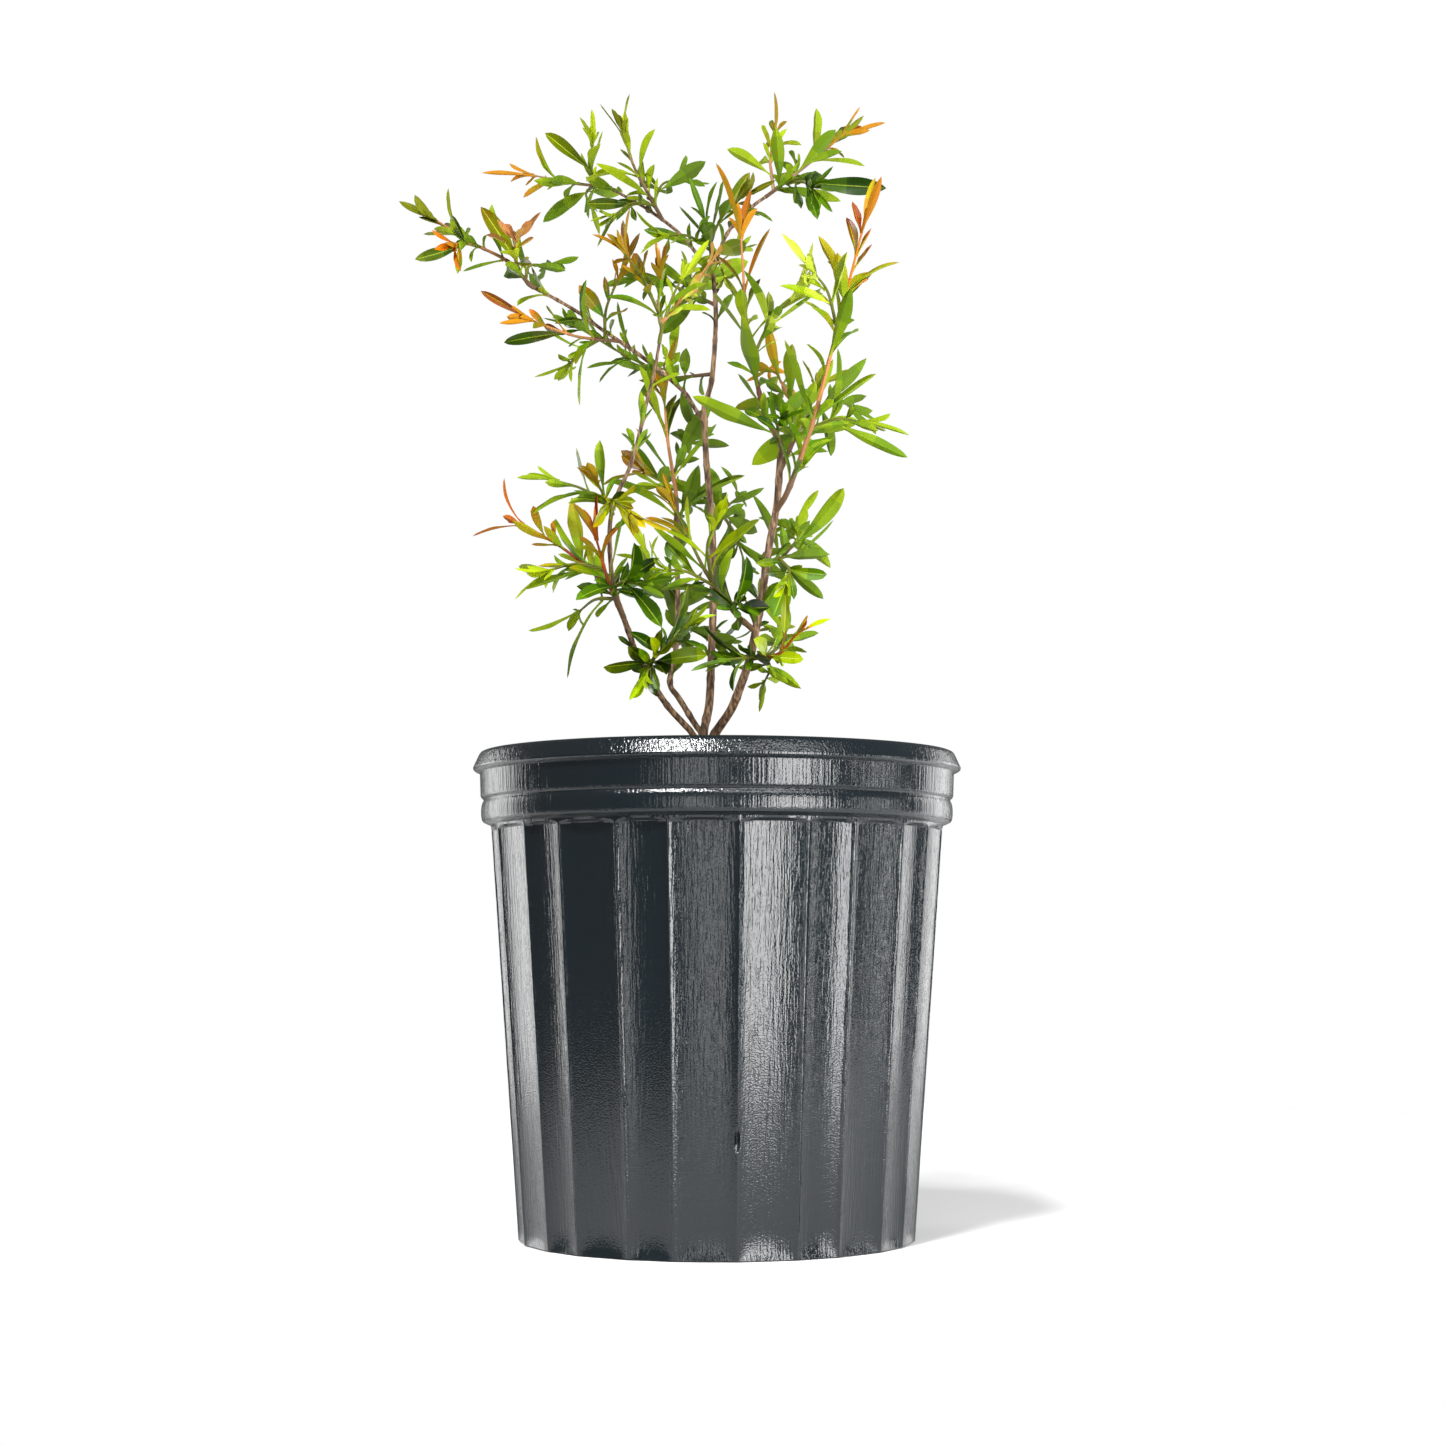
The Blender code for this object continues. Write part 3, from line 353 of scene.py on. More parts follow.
# Leaves sit in opposite pairs, each pair a quarter turn from the last
PAIR_TURN = math.radians(90.0)
TURN_JITTER = math.radians(24.0)
SPREAD_FOOT = math.radians(58.0)
SPREAD_TIP = math.radians(22.0)
SPREAD_JITTER = math.radians(11.0)
ROLL_JITTER = math.radians(38.0)
CURL_MIDDLE = math.radians(14.0)
CURL_JITTER = math.radians(30.0)
LENGTH_LEAST = 0.78
LENGTH_MORE = 0.34
LENGTH_JITTER = 0.26
# The part of an arch that the lengths follow along a shoot: where it starts, and how far it goes on
LENGTH_ARCH = (0.15, 0.8)
BREADTH_FOOT = 1.2
BREADTH_FALL = 0.32
BREADTH_JITTER = 0.14
STRAIGHT = 1e-4
LEAF_STATIONS = ((0.0, 0.0), (0.4, 0.96), (0.74, 0.78), (1.0, 0.0))
PETIOLE = 0.3
NECK = 2.4
SEARCH_STEPS = 40
LAST_PAIR = 0.985
KEEL = 0.12
KEEL_ABOVE = 0.4
KEEL_BELOW = 0.6
ROOM = 0.5
# Turns in degrees that a leaf tries, one after another, until it is clear
TRIES = (0.0, 22.0, -22.0, 44.0, -44.0, 66.0, -66.0)
LOWEST_LEAF = 252.0

# Bark: ridges along the wood in two sizes, each (scale, height), and a swelling at each old pair of leaves
FINE_STEP = 1.5
BARK_SIDES = 20
BARK_SHARE = 0.86
BARK_RELIEF = 0.13
TRUNK_RELIEF = 0.26
FISSURES_AROUND = 2.6
FISSURES_ALONG = 0.09
FISSURE_SIZES = ((1.0, 1.2), (2.7, 0.6))
FISSURE_SHIFT = 17.0
NODE_PITCH = 24.0
NODE_SHIFT = 7.0
NODE_SWELL = 0.27
NODE_HALF = 1.5
TWIG_RING = 8
TWIG_END = 0.5
TWIG_SWELL = 0.34
TWIG_SWELL_FALL = 0.5
TWIG_NODE_HALF = 1.3

# Fine leaves: stations along the blade, columns across its upper and under sides, and ranges of what varies
UPPER_COLUMNS = (-1.0, -0.7, -0.38, -0.06, 0.06, 0.38, 0.7, 1.0)
UNDER_COLUMNS = (0.7, 0.38, 0.0, -0.38, -0.7)
STATION_LENGTH = 2.8
LEAST_STATIONS = 7
FOLD = (10.0, 38.0)
TWIST = 24.0
FULLEST = (1.0, 1.7)
BLUNT = (0.6, 0.8)
WAVES = (1.2, 2.8)
WAVE_HEIGHT = (0.03, 0.12)
STALK_SHARE = 0.07
STALK_HALF = 0.5
STALK_THICK = 0.8
STALK_FADE = 6.0
BLADE_THICK = 0.26
RIB_THICK = 1.7
# How the tones of the leaves change from the old foot of a shoot to its young tip
YOUNG_POWER = 2.2
YOUNG_MIDDLE = 0.42
YOUNG_END = 0.76
FOOT_GRADE = 0.9
LEAF_SHRINK = 0.2
SHRINK_FADE = 4.0
TIP_SLENDER = 0.25
AGE_JITTER = (-0.2, 0.1)
SMALL_OLDER = 0.05
BETWEEN_AGE = 0.9
SPUR_AGE = 0.8

# Smaller leaves between the rule's own pairs
BETWEEN_CHANCE = 0.5
BETWEEN_SPREAD = (26.0, 52.0)
BETWEEN_CLOSING = 10.0
BETWEEN_LENGTH = (0.4, 0.72)
BETWEEN_BREADTH = (0.24, 0.34)
BETWEEN_PITCH = (7.0, 12.0)
BETWEEN_FIRST = 0.1
BETWEEN_LAST = 0.97
BETWEEN_TRIES = TRIES[:5]
BETWEEN_ROOM = ROOM * 0.5
NODE_ROOM = 3.0
SPUR_PITCH = (13.0, 22.0)
# Small young leaves at a tip or a node: how many, their spread in degrees, their length
SMALL_AT_TIP = ((2, 2, 3), (6.0, 24.0), (10.0, 21.0))
SMALL_AT_NODE = ((0, 0, 1, 2), (25.0, 55.0), (9.0, 19.0))
SMALL_TURN = math.radians(137.5)
SMALL_ROLL = 0.5
SMALL_BREADTH = (0.26, 0.38)
SMALL_CURL = (-20.0, 35.0)

# Surfaces: roughness, scale of the pattern, its stretch, and its relief as (strength, depth in metres)
PLASTIC_ROUGHNESS = 0.145
GRAIN_SCALE = 1100.0
GRAIN_SHARE = 0.45
SCRATCH_SCALE = 800.0
SCRATCH_STRETCH = (1.0, 1.0, 0.004)
PLASTIC_RELIEF = (0.9, 0.0003)
BARK_ROUGHNESS = 0.75
BARK_SCALE = 620.0
BARK_STRETCH = (1.0, 1.0, 0.22)
STREAK_RELIEF = (0.5, 0.0004)
MIX_ROUGHNESS = 0.9
# Colours as a screen shows them, from 0 to 255
PLASTIC_COLOUR = (15, 22, 26)
BARK_COLOURS = ((0.34, (56, 37, 25)), (0.47, (98, 72, 48)), (0.62, (148, 118, 86)))
MIX = {
    "soil": (58, 36, 31),
    "dark": (32, 18, 17),
    "chip": (98, 58, 46),
    "straw": (146, 108, 88),
    "perlite": (226, 222, 212),
}
TONES = {
    "deep": (32, 63, 0), "leaf": (73, 109, 0), "fresh": (125, 148, 0), "lime": (157, 174, 0),
    "pale": (178, 194, 58), "olive": (104, 104, 0), "gold": (160, 140, 0), "bronze": (136, 90, 0),
    "orange": (184, 100, 2), "rust": (168, 74, 6), "red": (176, 44, 18), "pink": (182, 122, 70),
    "maroon": (98, 42, 36), "wood": (96, 72, 50), "tan": (160, 130, 96), "moss": (98, 102, 30),
    "under": (142, 164, 40), "rib": (170, 186, 40),
}
# Leaves on the limbs themselves: (first share, last share, length of a full leaf, tones)
SPURS = {
    "left_stem": (0.45, 1.0, 30.0, "deep leaf fresh"),
    "second_stem": (0.3, 0.75, 30.0, "deep leaf"),
    "centre_stem": (0.2, 0.5, 30.0, "deep leaf"),
    "right_stem": (0.25, 0.95, 30.0, "deep leaf fresh"),
    "left_leader": (0.1, 0.95, 26.0, "leaf fresh"),
    "centre_leader": (0.35, 1.0, 28.0, "deep leaf fresh"),
    "left_bough": (0.15, 1.0, 30.0, "leaf fresh olive"),
    "upper_left_bough": (0.2, 1.0, 30.0, "deep leaf fresh"),
    "upper_right_bough": (0.2, 1.0, 30.0, "deep leaf fresh"),
}
# The roughness and the shine of each finish, and how bright a leaf may be beside its tone
FINISHES = {"upper": (0.3, 0.26), "lower": (0.6, 0.12), "rib": (0.4, 0.3), "twig": (0.6, 0.25)}
SHADES = {"dark": 0.42, "dim": 0.75, "plain": 1.0, "bright": 1.26}
UNDER_SHARE = 0.22
RIB_SHARE = 0.45


# Colours and materials


def plain_colour(shown):
    """The colour that a screen shows so, as linear red, green and blue."""
    parts = [part / 255.0 for part in shown]
    return [((part + 0.055) / 1.055) ** 2.4 if part > 0.04045 else part / 12.92 for part in parts]


def mixed(first, second, share):
    return [a + (b - a) * share for a, b in zip(first, second)]


def material(name, colour, roughness):
    """A new material, with its node tree and its shader."""
    made = bpy.data.materials.new(name)
    made.use_nodes = True
    shader = made.node_tree.nodes["Principled BSDF"]
    shader.inputs["Base Color"].default_value = (*colour, 1.0)
    shader.inputs["Roughness"].default_value = roughness
    return made, made.node_tree, shader


def add_node(tree, kind, values, feeds):
    """A new node with these values in its sockets, and these outputs linked to others."""
    node = tree.nodes.new(kind)
    for socket, value in values.items():
        node.inputs[socket].default_value = value
    for socket, output in feeds.items():
        tree.links.new(output, node.inputs[socket])
    return node


def add_noise(tree, scale, detail, stretch=(1.0, 1.0, 1.0)):
    """A noise fixed to the object, finer or coarser along each axis by the stretch."""
    place = tree.nodes.new("ShaderNodeTexCoord").outputs["Object"]
    stretched = add_node(tree, "ShaderNodeMapping", {"Scale": stretch}, {"Vector": place})
    feeds = {"Vector": stretched.outputs["Vector"]}
    return add_node(tree, "ShaderNodeTexNoise", {"Scale": scale, "Detail": detail}, feeds).outputs["Fac"]


def add_ramp(tree, steps, feed):
    """A colour ramp through these places and linear colours."""
    ramp = add_node(tree, "ShaderNodeValToRGB", {}, {"Fac": feed})
    stops = ramp.color_ramp.elements
    stops[0].position = steps[0][0]
    stops[-1].position = steps[-1][0]
    for place, _colour in steps[1:-1]:
        stops.new(place)
    for stop, (_place, colour) in zip(stops, steps):
        stop.color = (*colour, 1.0)
    return ramp.outputs["Color"]


def add_bump(tree, shader, height, relief):
    values = {"Strength": relief[0], "Distance": relief[1]}
    bump = add_node(tree, "ShaderNodeBump", values, {"Height": height})
    tree.links.new(bump.outputs["Normal"], shader.inputs["Normal"])


def tone_material(key):
    """The plain material of a finish in a tone, or half way between two tones."""
    name = "_".join(key)
    if name in bpy.data.materials:
        return bpy.data.materials[name]
    finish, tone, other, shade = key
    colour = mixed(plain_colour(TONES[tone]), plain_colour(TONES[other]), 0.5)
    if finish == "lower":
        colour = mixed(colour, plain_colour(TONES["under"]), UNDER_SHARE)
    if finish == "rib":
        colour = mixed(colour, plain_colour(TONES["rib"]), RIB_SHARE)
    roughness, shine = FINISHES[finish]
    made, _tree, shader = material(name, [part * SHADES[shade] for part in colour], roughness)
    shader.inputs["Specular IOR Level"].default_value = shine
    return made


def pot_material():
    """Satin charcoal plastic with a fine grain and long upright scratches, which catch the light."""
    made, tree, shader = material("charcoal_plastic", plain_colour(PLASTIC_COLOUR), PLASTIC_ROUGHNESS)
    feeds = {0: add_noise(tree, GRAIN_SCALE, 1.0), 2: add_noise(tree, SCRATCH_SCALE, 2.0, SCRATCH_STRETCH)}
    both = add_node(tree, "ShaderNodeMath", {1: GRAIN_SHARE}, feeds)
    both.operation = "MULTIPLY_ADD"
    add_bump(tree, shader, both.outputs["Value"], PLASTIC_RELIEF)
    return made


def mix_material(key):
    return material(f"potting_{key[0]}", plain_colour(MIX[key[0]]), MIX_ROUGHNESS)[0]


def bark_material():
    """Grey-brown bark with lighter and darker streaks along the wood."""
    steps = [(place, plain_colour(colour)) for place, colour in BARK_COLOURS]
    made, tree, shader = material("bark", steps[1][1], BARK_ROUGHNESS)
    streaks = add_noise(tree, BARK_SCALE, 4.0, BARK_STRETCH)
    tree.links.new(add_ramp(tree, steps, streaks), shader.inputs["Base Color"])
    add_bump(tree, shader, streaks, STREAK_RELIEF)
    return made


# Joined meshes


def link(obj):
    bpy.context.scene.collection.objects.link(obj)


class Shape:
    """Points in millimetres, faces, and the key of each face's material, gathered for one mesh."""

    def __init__(self):
        self.points = []
        self.faces = []
        self.keys = []

    def add(self, points, faces, keys):
        first = len(self.points)
        self.points += points
        self.faces += [tuple(first + corner for corner in face) for face in faces]
        self.keys += keys

    def make(self, name, nodes, materials):
        """One smooth object on the part's only body, which stands for these nodes of the frame."""
        mesh = bpy.data.meshes.new(name)
        mesh.from_pydata([point * MM for point in self.points], [], self.faces)
        keys = sorted(set(self.keys))
        for key in keys:
            mesh.materials.append(materials(key))
        number = {key: place for place, key in enumerate(keys)}
        mesh.polygons.foreach_set("material_index", [number[key] for key in self.keys])
        mesh.polygons.foreach_set("use_smooth", [True] * len(self.faces))
        shape = bmesh.new()
        shape.from_mesh(mesh)
        bmesh.ops.recalc_face_normals(shape, faces=shape.faces)
        for edge in shape.edges:
            edge.smooth = edge.calc_face_angle(0.0) < SHARP_EDGE
        shape.to_mesh(mesh)
        shape.free()
        obj = bpy.data.objects.new(name, mesh)
        link(obj)
        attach(obj, "root")
        if nodes:
            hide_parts(*nodes)
        return obj


def bridge_rings(count, rings):
    """The four-cornered faces between rings of points, and a face that closes each end."""
    faces = []
    for ring in range(rings - 1):
        low = ring * count
        high = low + count
        faces += [(low + a, low + (a + 1) % count, high + (a + 1) % count, high + a) for a in range(count)]
    return [*faces, tuple(reversed(range(count))), tuple(range((rings - 1) * count, rings * count))]


def sweep(shape, path, sides, radius, key):
    """Adds a closed tube along the path, of radius(share, far, outward) and with materials by key(share)."""
    last = len(path) - 1
    side = Vector((0.0, 1.0, 0.0))
    points = []
    keys = []
    far = 0.0
    for number, place in enumerate(path):
        ahead = (path[min(number + 1, last)] - path[max(number - 1, 0)]).normalized()
        side = (side - ahead * side.dot(ahead)).normalized()
        other = ahead.cross(side)
        if number:
            far += (place - path[number - 1]).length
            keys += [key(number / last)] * sides
        for a in range(sides):
            angle = math.tau * a / sides
            outward = side * math.cos(angle) + other * math.sin(angle)
            points.append(place + outward * radius(number / last, far, outward))
    keys += [key(0.0), key(1.0)]
    shape.add(points, bridge_rings(sides, last + 1), keys)


# Paths, as the frame's own limbs and twigs have them


def smooth_path(points, step):
    """A smooth curve through the points, with a place about every step."""
    ends = [points[0] * 2 - points[1], *points, points[-1] * 2 - points[-2]]
    path = [points[0]]
    for before, start, end, after in zip(ends, ends[1:], ends[2:], ends[3:]):
        bend = before * 2 - start * 5 + end * 4 - after
        twist = start * 3 - before - end * 3 + after
        count = max(1, round((end - start).length / step))
        for place in range(1, count + 1):
            t = place / count
            path.append((start * 2 + (end - before) * t + bend * t * t + twist * t * t * t) * 0.5)
    return path


def path_length(path):
    return sum((b - a).length for a, b in zip(path, path[1:]))


def place_on(path, share):
    """The point and the direction at this share of the path's length."""
    spans = list(zip(path, path[1:]))
    left = share * path_length(path)
    for a, b in spans[:-1]:
        if left <= (b - a).length:
            return a.lerp(b, left / (b - a).length), (b - a).normalized()
        left -= (b - a).length
    a, b = spans[-1]
    return a.lerp(b, min(left / (b - a).length, 1.0)), (b - a).normalized()


def taper(path, foot, tip):
    """A radius for each point of the path, which changes evenly along its length."""
    far = [0.0]
    for a, b in zip(path, path[1:]):
        far.append(far[-1] + (b - a).length)
    return [foot + (tip - foot) * reach / far[-1] for reach in far]


def leave_parent(parent, share, towards, radius):
    """A place inside the parent, the place where a limb's square foot just clears it, and its direction."""
    root = place_on(parent["path"], min(share, LAST_ROOT))[0]
    place, along = place_on(parent["path"], share)
    if share == 1.0:
        return root, place + along * GAP, along
    heading = (towards - place).normalized()
    cosine = abs(heading.dot(along))
    sine = math.sqrt(1.0 - cosine * cosine)
    parent_radius = parent["foot"] + (parent["tip"] - parent["foot"]) * share
    return root, place + heading * ((parent_radius + GAP + radius * cosine) / sine), heading


# Guides that the leaves keep clear of


def guide_section():
    """A ring of unit radius that the guides are bevelled with."""
    data = bpy.data.curves.new("guide_section", "CURVE")
    data.dimensions = "2D"
    spline = data.splines.new("POLY")
    spline.points.add(TWIG_SIDES - 1)
    for number, point in enumerate(spline.points):
        angle = math.tau * number / TWIG_SIDES
        point.co = (math.cos(angle) * MM, math.sin(angle) * MM, 0.0, 1.0)
    spline.use_cyclic_u = True
    obj = bpy.data.objects.new("guide_section", data)
    link(obj)
    return obj


def guide_round(path, radii, section):
    """The points and faces of a plain tapering tube with closed ends."""
    data = bpy.data.curves.new("guide", "CURVE")
    data.dimensions = "3D"
    data.bevel_mode = "OBJECT"
    data.bevel_object = section
    data.use_fill_caps = True
    spline = data.splines.new("POLY")
    spline.points.add(len(path) - 1)
    for point, place, radius in zip(spline.points, path, radii):
        point.co = (*(place * MM), 1.0)
        point.radius = radius
    obj = bpy.data.objects.new("guide", data)
    link(obj)
    mesh = bpy.data.meshes.new_from_object(obj.evaluated_get(bpy.context.evaluated_depsgraph_get()))
    bpy.data.objects.remove(obj)
    shape = bmesh.new()
    shape.from_mesh(mesh)
    bmesh.ops.remove_doubles(shape, verts=shape.verts, dist=1e-6)
    bmesh.ops.recalc_face_normals(shape, faces=shape.faces)
    shape.to_mesh(mesh)
    shape.free()
    return parts_of(mesh)


def parts_of(mesh):
    """A mesh's points in millimetres, and its faces."""
    return [point.co / MM for point in mesh.vertices], [tuple(face.vertices) for face in mesh.polygons]


def tree_of(shapes):
    """One search tree for all these points and faces."""
    points = []
    faces = []
    for shape_points, shape_faces in shapes:
        first = len(points)
        points += [tuple(point) for point in shape_points]
        faces += [tuple(first + corner for corner in face) for face in shape_faces]
    return BVHTree.FromPolygons(points, faces)


def frame_tree(name):
    """The search tree of a node of the frame."""
    return tree_of([parts_of(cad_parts[name].data)])


def touches(shape, trees):
    tested = tree_of([shape])
    return any(tested.overlap(tree) for tree in trees)


# The rule that places the leaves


def swing(draw, most):
    """A draw from -most to most."""
    return draw.uniform(-1.0, 1.0) * most


def shoot_path(start, along, points):
    """Leaves the parent a little along its direction, and bends to the tip."""
    if len(points) == 1:
        reach = points[0] - start
        points = [start + reach * 0.5 + along * (reach.length * SOFT_START), points[0]]
    return smooth_path([start, *points], TWIG_STEP)


def pair_shares(bare, pairs):
    """The share of a shoot's length at which each of its pairs of leaves sits."""
    return [bare + (LAST_PAIR - bare) * (pair / (pairs - 1) if pairs > 1 else 1.0) for pair in range(pairs)]


def bent_place(root, along, face, length, curl, share):
    """The place at this share of a leaf that bends evenly, by curl in all, away from its upper face."""
    turn = curl * share
    if abs(turn) < STRAIGHT:
        return root + length * (along * share)
    ahead = math.sin(turn) / turn * share
    down = (1.0 - math.cos(turn)) / turn * share
    return root + length * (along * ahead - face * down)


def leaf_shape(root, along, face, length, breadth, curl, extra):
    """A keeled blade of three-cornered sections that bends away from its upper face."""
    across = along.cross(face)
    points = []
    for share, wide in LEAF_STATIONS:
        turn = curl * share
        place = bent_place(root, along, face, length, curl, share)
        up = face * math.cos(turn) + along * math.sin(turn)
        half = max(PETIOLE, breadth * 0.5 * wide) + extra
        keel = KEEL * half * 2.0 + PETIOLE * 0.5 + extra
        if share == 1.0:
            points.append(place)
        else:
            rise = up * keel
            points += [place + across * half + rise * KEEL_ABOVE, place - across * half + rise * KEEL_ABOVE]
            points.append(place - rise * KEEL_BELOW)
    last = (len(LEAF_STATIONS) - 2) * 3
    sides = [(ring + a, ring + (a + 1) % 3, ring + 3 + (a + 1) % 3, ring + 3 + a)
             for ring in range(0, last, 3) for a in range(3)]
    return points, [(0, 2, 1), *sides, *((last + a, last + (a + 1) % 3, last + 3) for a in range(3))]


def leaf_draws(draw, share, length, breadth):
    """A leaf's spread, roll, length, breadth and curl at this share of its shoot."""
    arch = math.sin(math.pi * min(1.0, LENGTH_ARCH[0] + share * LENGTH_ARCH[1]))
    spread = SPREAD_FOOT + (SPREAD_TIP - SPREAD_FOOT) * share + swing(draw, SPREAD_JITTER)
    roll = swing(draw, ROLL_JITTER)
    curl = CURL_MIDDLE + swing(draw, CURL_JITTER)
    long = length * (LENGTH_LEAST + LENGTH_MORE * arch) * (1.0 + swing(draw, LENGTH_JITTER))
    slender = BREADTH_FOOT - BREADTH_FALL * share * share
    wide = long * breadth * slender * (1.0 + swing(draw, BREADTH_JITTER))
    return spread, roll, long, wide, curl


def leaf_axes(along, turn, spread, roll):
    """The heading and the upper face of a leaf that leaves its shoot so."""
    outward = Quaternion(along, turn) @ along.cross(UP).normalized()
    heading = along * math.cos(spread) + outward * math.sin(spread)
    face = along * math.sin(spread) - outward * math.cos(spread)
    return heading, Quaternion(heading, roll) @ face


def clear_leaf(spot, turn, tries, angles, size, room, trees, own):
    """The leaf at the first of the tried turns that touches neither another node nor another leaf, in a list.

    spot is its place and the shoot's direction, angles are its spread and roll.
    """
    place, along = spot
    long, wide, curl = size
    for more in tries:
        heading, face = leaf_axes(along, turn + math.radians(more), *angles)
        tested = leaf_shape(place, heading, face, long, wide, curl, room)
        if min(point.z for point in tested[0]) < LOWEST_LEAF or touches(tested, trees):
            continue
        blade = leaf_shape(place + heading * NECK, heading, face, long - NECK, wide, curl, 0.0)
        if not touches(blade, [tree_of(own)]):
            own.append(blade)
            return [(place, heading, face, long, wide, curl)]
    return []


def leaves_on(path, bare, pairs, length, breadth, draw, trees, own):
    """Opposite leaves along a shoot. One that would touch another node or leaf turns, or is left out."""
    kept = []
    first_turn = draw.uniform(0.0, math.tau)
    for pair, share in enumerate(pair_shares(bare, pairs)):
        spot = place_on(path, share)
        for half in range(2):
            turn = first_turn + PAIR_TURN * pair + math.pi * half + swing(draw, TURN_JITTER)
            spread, roll, *size = leaf_draws(draw, share, length, breadth)
            kept += clear_leaf(spot, turn, TRIES, (spread, roll), size, ROOM, trees, own)
    return kept


# Pot


def smooth_step(value):
    value = max(0.0, min(1.0, value))
    return value * value * (3.0 - 2.0 * value)


def pot_columns():
    """The columns of the pot's wall: angle from the seam, hollow, and how proud the seam stands there.

    A wide and a narrow flute take turns, and the two halves between the seams mirror one another.
    """
    angle = SEAM_TURN
    columns = []
    for half in range(2):
        for number in range(FLUTES_PER_HALF):
            width = WIDE_FLUTE if (number + half) % 2 == 0 else NARROW_FLUTE
            step = RIDGE_STEP / BODY_RADIUS / width
            shares = [column / COLUMNS_PER_FLUTE for column in range(COLUMNS_PER_FLUTE)]
            shares[1:1] = [step, step * 2.0]
            shares += [1.0 - step * 2.0, 1.0 - step]
            for across in shares:
                from_ridge = min(across, 1.0 - across) * width * BODY_RADIUS
                arch = (4.0 * across * (1.0 - across)) ** FLUTE_POWER
                proud = 0.0 if number or across else SEAM_PROUD
                columns.append((angle + width * across, arch * smooth_step(from_ridge / RIDGE_ROUND), proud))
            angle += width
    return columns


def slit(angle, below):
    """How deep the small slit in the front seam is here."""
    from_seam = min(angle - SEAM_TURN, SEAM_TURN + math.tau - angle) * BODY_RADIUS
    along = (below - SLIT_RINGS[-1]) / (SLIT_RINGS[0] - SLIT_RINGS[-1])
    half = SLIT_HALF * math.sin(math.pi * max(0.0, min(1.0, along)))
    return SLIT_DEPTH * smooth_step((half - from_seam) / SLIT_EDGE)


def around(angle, radius, height):
    return Vector((radius * math.sin(angle), -radius * math.cos(angle), height))


def pot_rings():
    """The wall's rings, up from the foot and down inside: drop from the top, radius, depth of flutes."""
    body = [POT_HEIGHT - height for height in FOOT_RINGS]
    body += [BODY_TOP + BODY_PITCH * (ring + 1) for ring in range(BODY_RINGS)]
    body += [*SLIT_RINGS, *(BODY_TOP + ring for ring in FLUTE_TOP_RINGS)]
    rings = [(POT_HEIGHT, FOOT_RADIUS - FOOT_ROUND, FOOT_FLUTE)]
    for below in sorted(body, reverse=True):
        height = POT_HEIGHT - below
        radius = FOOT_RADIUS + (BODY_RADIUS - FOOT_RADIUS) * height / (POT_HEIGHT - BODY_TOP)
        rings.append((below, radius, min(1.0, FOOT_FLUTE + height * FOOT_FADE)))
    return rings + [(below, radius, 0.0) for below, radius in (*RIM, *INNER)]


def make_pot():
    columns = pot_columns()
    rings = pot_rings()
    points = []
    for below, radius, share in rings:
        for angle, hollow, proud in columns:
            fade = share * smooth_step((below - BODY_TOP - FLUTE_ARCH * (1.0 - hollow)) / FLUTE_FADE)
            streak = STREAK * noise.noise(Vector((angle * STREAK_PITCH, hollow, below * STREAK_RISE)))
            out = radius - FLUTE_DEPTH * fade * hollow + proud + streak - slit(angle, below)
            points.append(around(angle, out, POT_HEIGHT - below))
    faces = bridge_rings(len(columns), len(rings))
    shape = Shape()
    shape.add(points, faces, [("pot",)] * len(faces))
    made = pot_material()
    cut_drains(shape.make("fluted_pot", ["pot"], lambda _key: made))


def cut_drains(pot):
    """Cuts the ring of round holes through the pot's floor."""
    shape = bmesh.new()
    for number in range(DRAIN_HOLES):
        place = around(math.tau * number / DRAIN_HOLES, DRAIN_CIRCLE, FLOOR / 2.0) * MM
        bmesh.ops.create_cone(
            shape, cap_ends=True, segments=DRAIN_SIDES, radius1=DRAIN_RADIUS * MM, radius2=DRAIN_RADIUS * MM,
            depth=3.0 * FLOOR * MM, matrix=Matrix.Translation(place),
        )
    mesh = bpy.data.meshes.new("drain_holes")
    shape.to_mesh(mesh)
    shape.free()
    holes = bpy.data.objects.new("drain_holes", mesh)
    link(holes)
    cut = pot.modifiers.new("drain_holes", "BOOLEAN")
    cut.object = holes
    cut.operation = "DIFFERENCE"
    graph = bpy.context.evaluated_depsgraph_get()
    pot.data = bpy.data.meshes.new_from_object(pot.evaluated_get(graph))
    pot.modifiers.clear()
    bpy.data.objects.remove(holes)


# Potting mix


def soil_height(place):
    """The height of the mix's top here, which is flat under the trunk."""
    from_trunk = math.hypot(place.x - TRUNK_PLACE[0], place.y - TRUNK_PLACE[1])
    loose = smooth_step((from_trunk - SOIL_FLAT) / SOIL_BLEND)
    swells = noise.noise(Vector((place.x, place.y, 0.0)) * SOIL_SWELLS[0]) * SOIL_SWELLS[1]
    lumps = noise.noise(place * SOIL_LUMPS[0]) * SOIL_LUMPS[1]
    return SOIL_TOP + loose * (swells + lumps - SOIL_LOWER)


def ball():
    """The points and faces of a twenty-sided ball of unit radius."""
    shape = bmesh.new()
    bmesh.ops.create_icosphere(shape, subdivisions=1, radius=1.0)
    points = [point.co.copy() for point in shape.verts]
    faces = [tuple(corner.index for corner in face.verts) for face in shape.faces]
    shape.free()
    return points, faces


def scatter(shape, key, count, sizes, draw):
    """Adds rough lumps on the mix, sunk by half."""
    points, faces = ball()
    for _lump in range(count):
        angle = draw.uniform(0.0, math.tau)
        place = around(angle, SOIL_RADIUS * LUMP_CIRCLE * math.sqrt(draw.random()), SOIL_TOP)
        place.z = soil_height(place)
        size = [draw.uniform(*limits) for limits in sizes]
        turn = Quaternion(UP, draw.uniform(0.0, math.tau))
        turn = Quaternion(around(draw.uniform(0.0, math.tau), 1.0, 0.0), draw.uniform(0.0, LUMP_TILT)) @ turn
        grown = []
        for point in points:
            rough = draw.uniform(*LUMP_ROUGH)
            grown.append(place + turn @ Vector([part * rough * half for part, half in zip(point, size)]))
        shape.add(grown, faces, [(key,)] * len(faces))


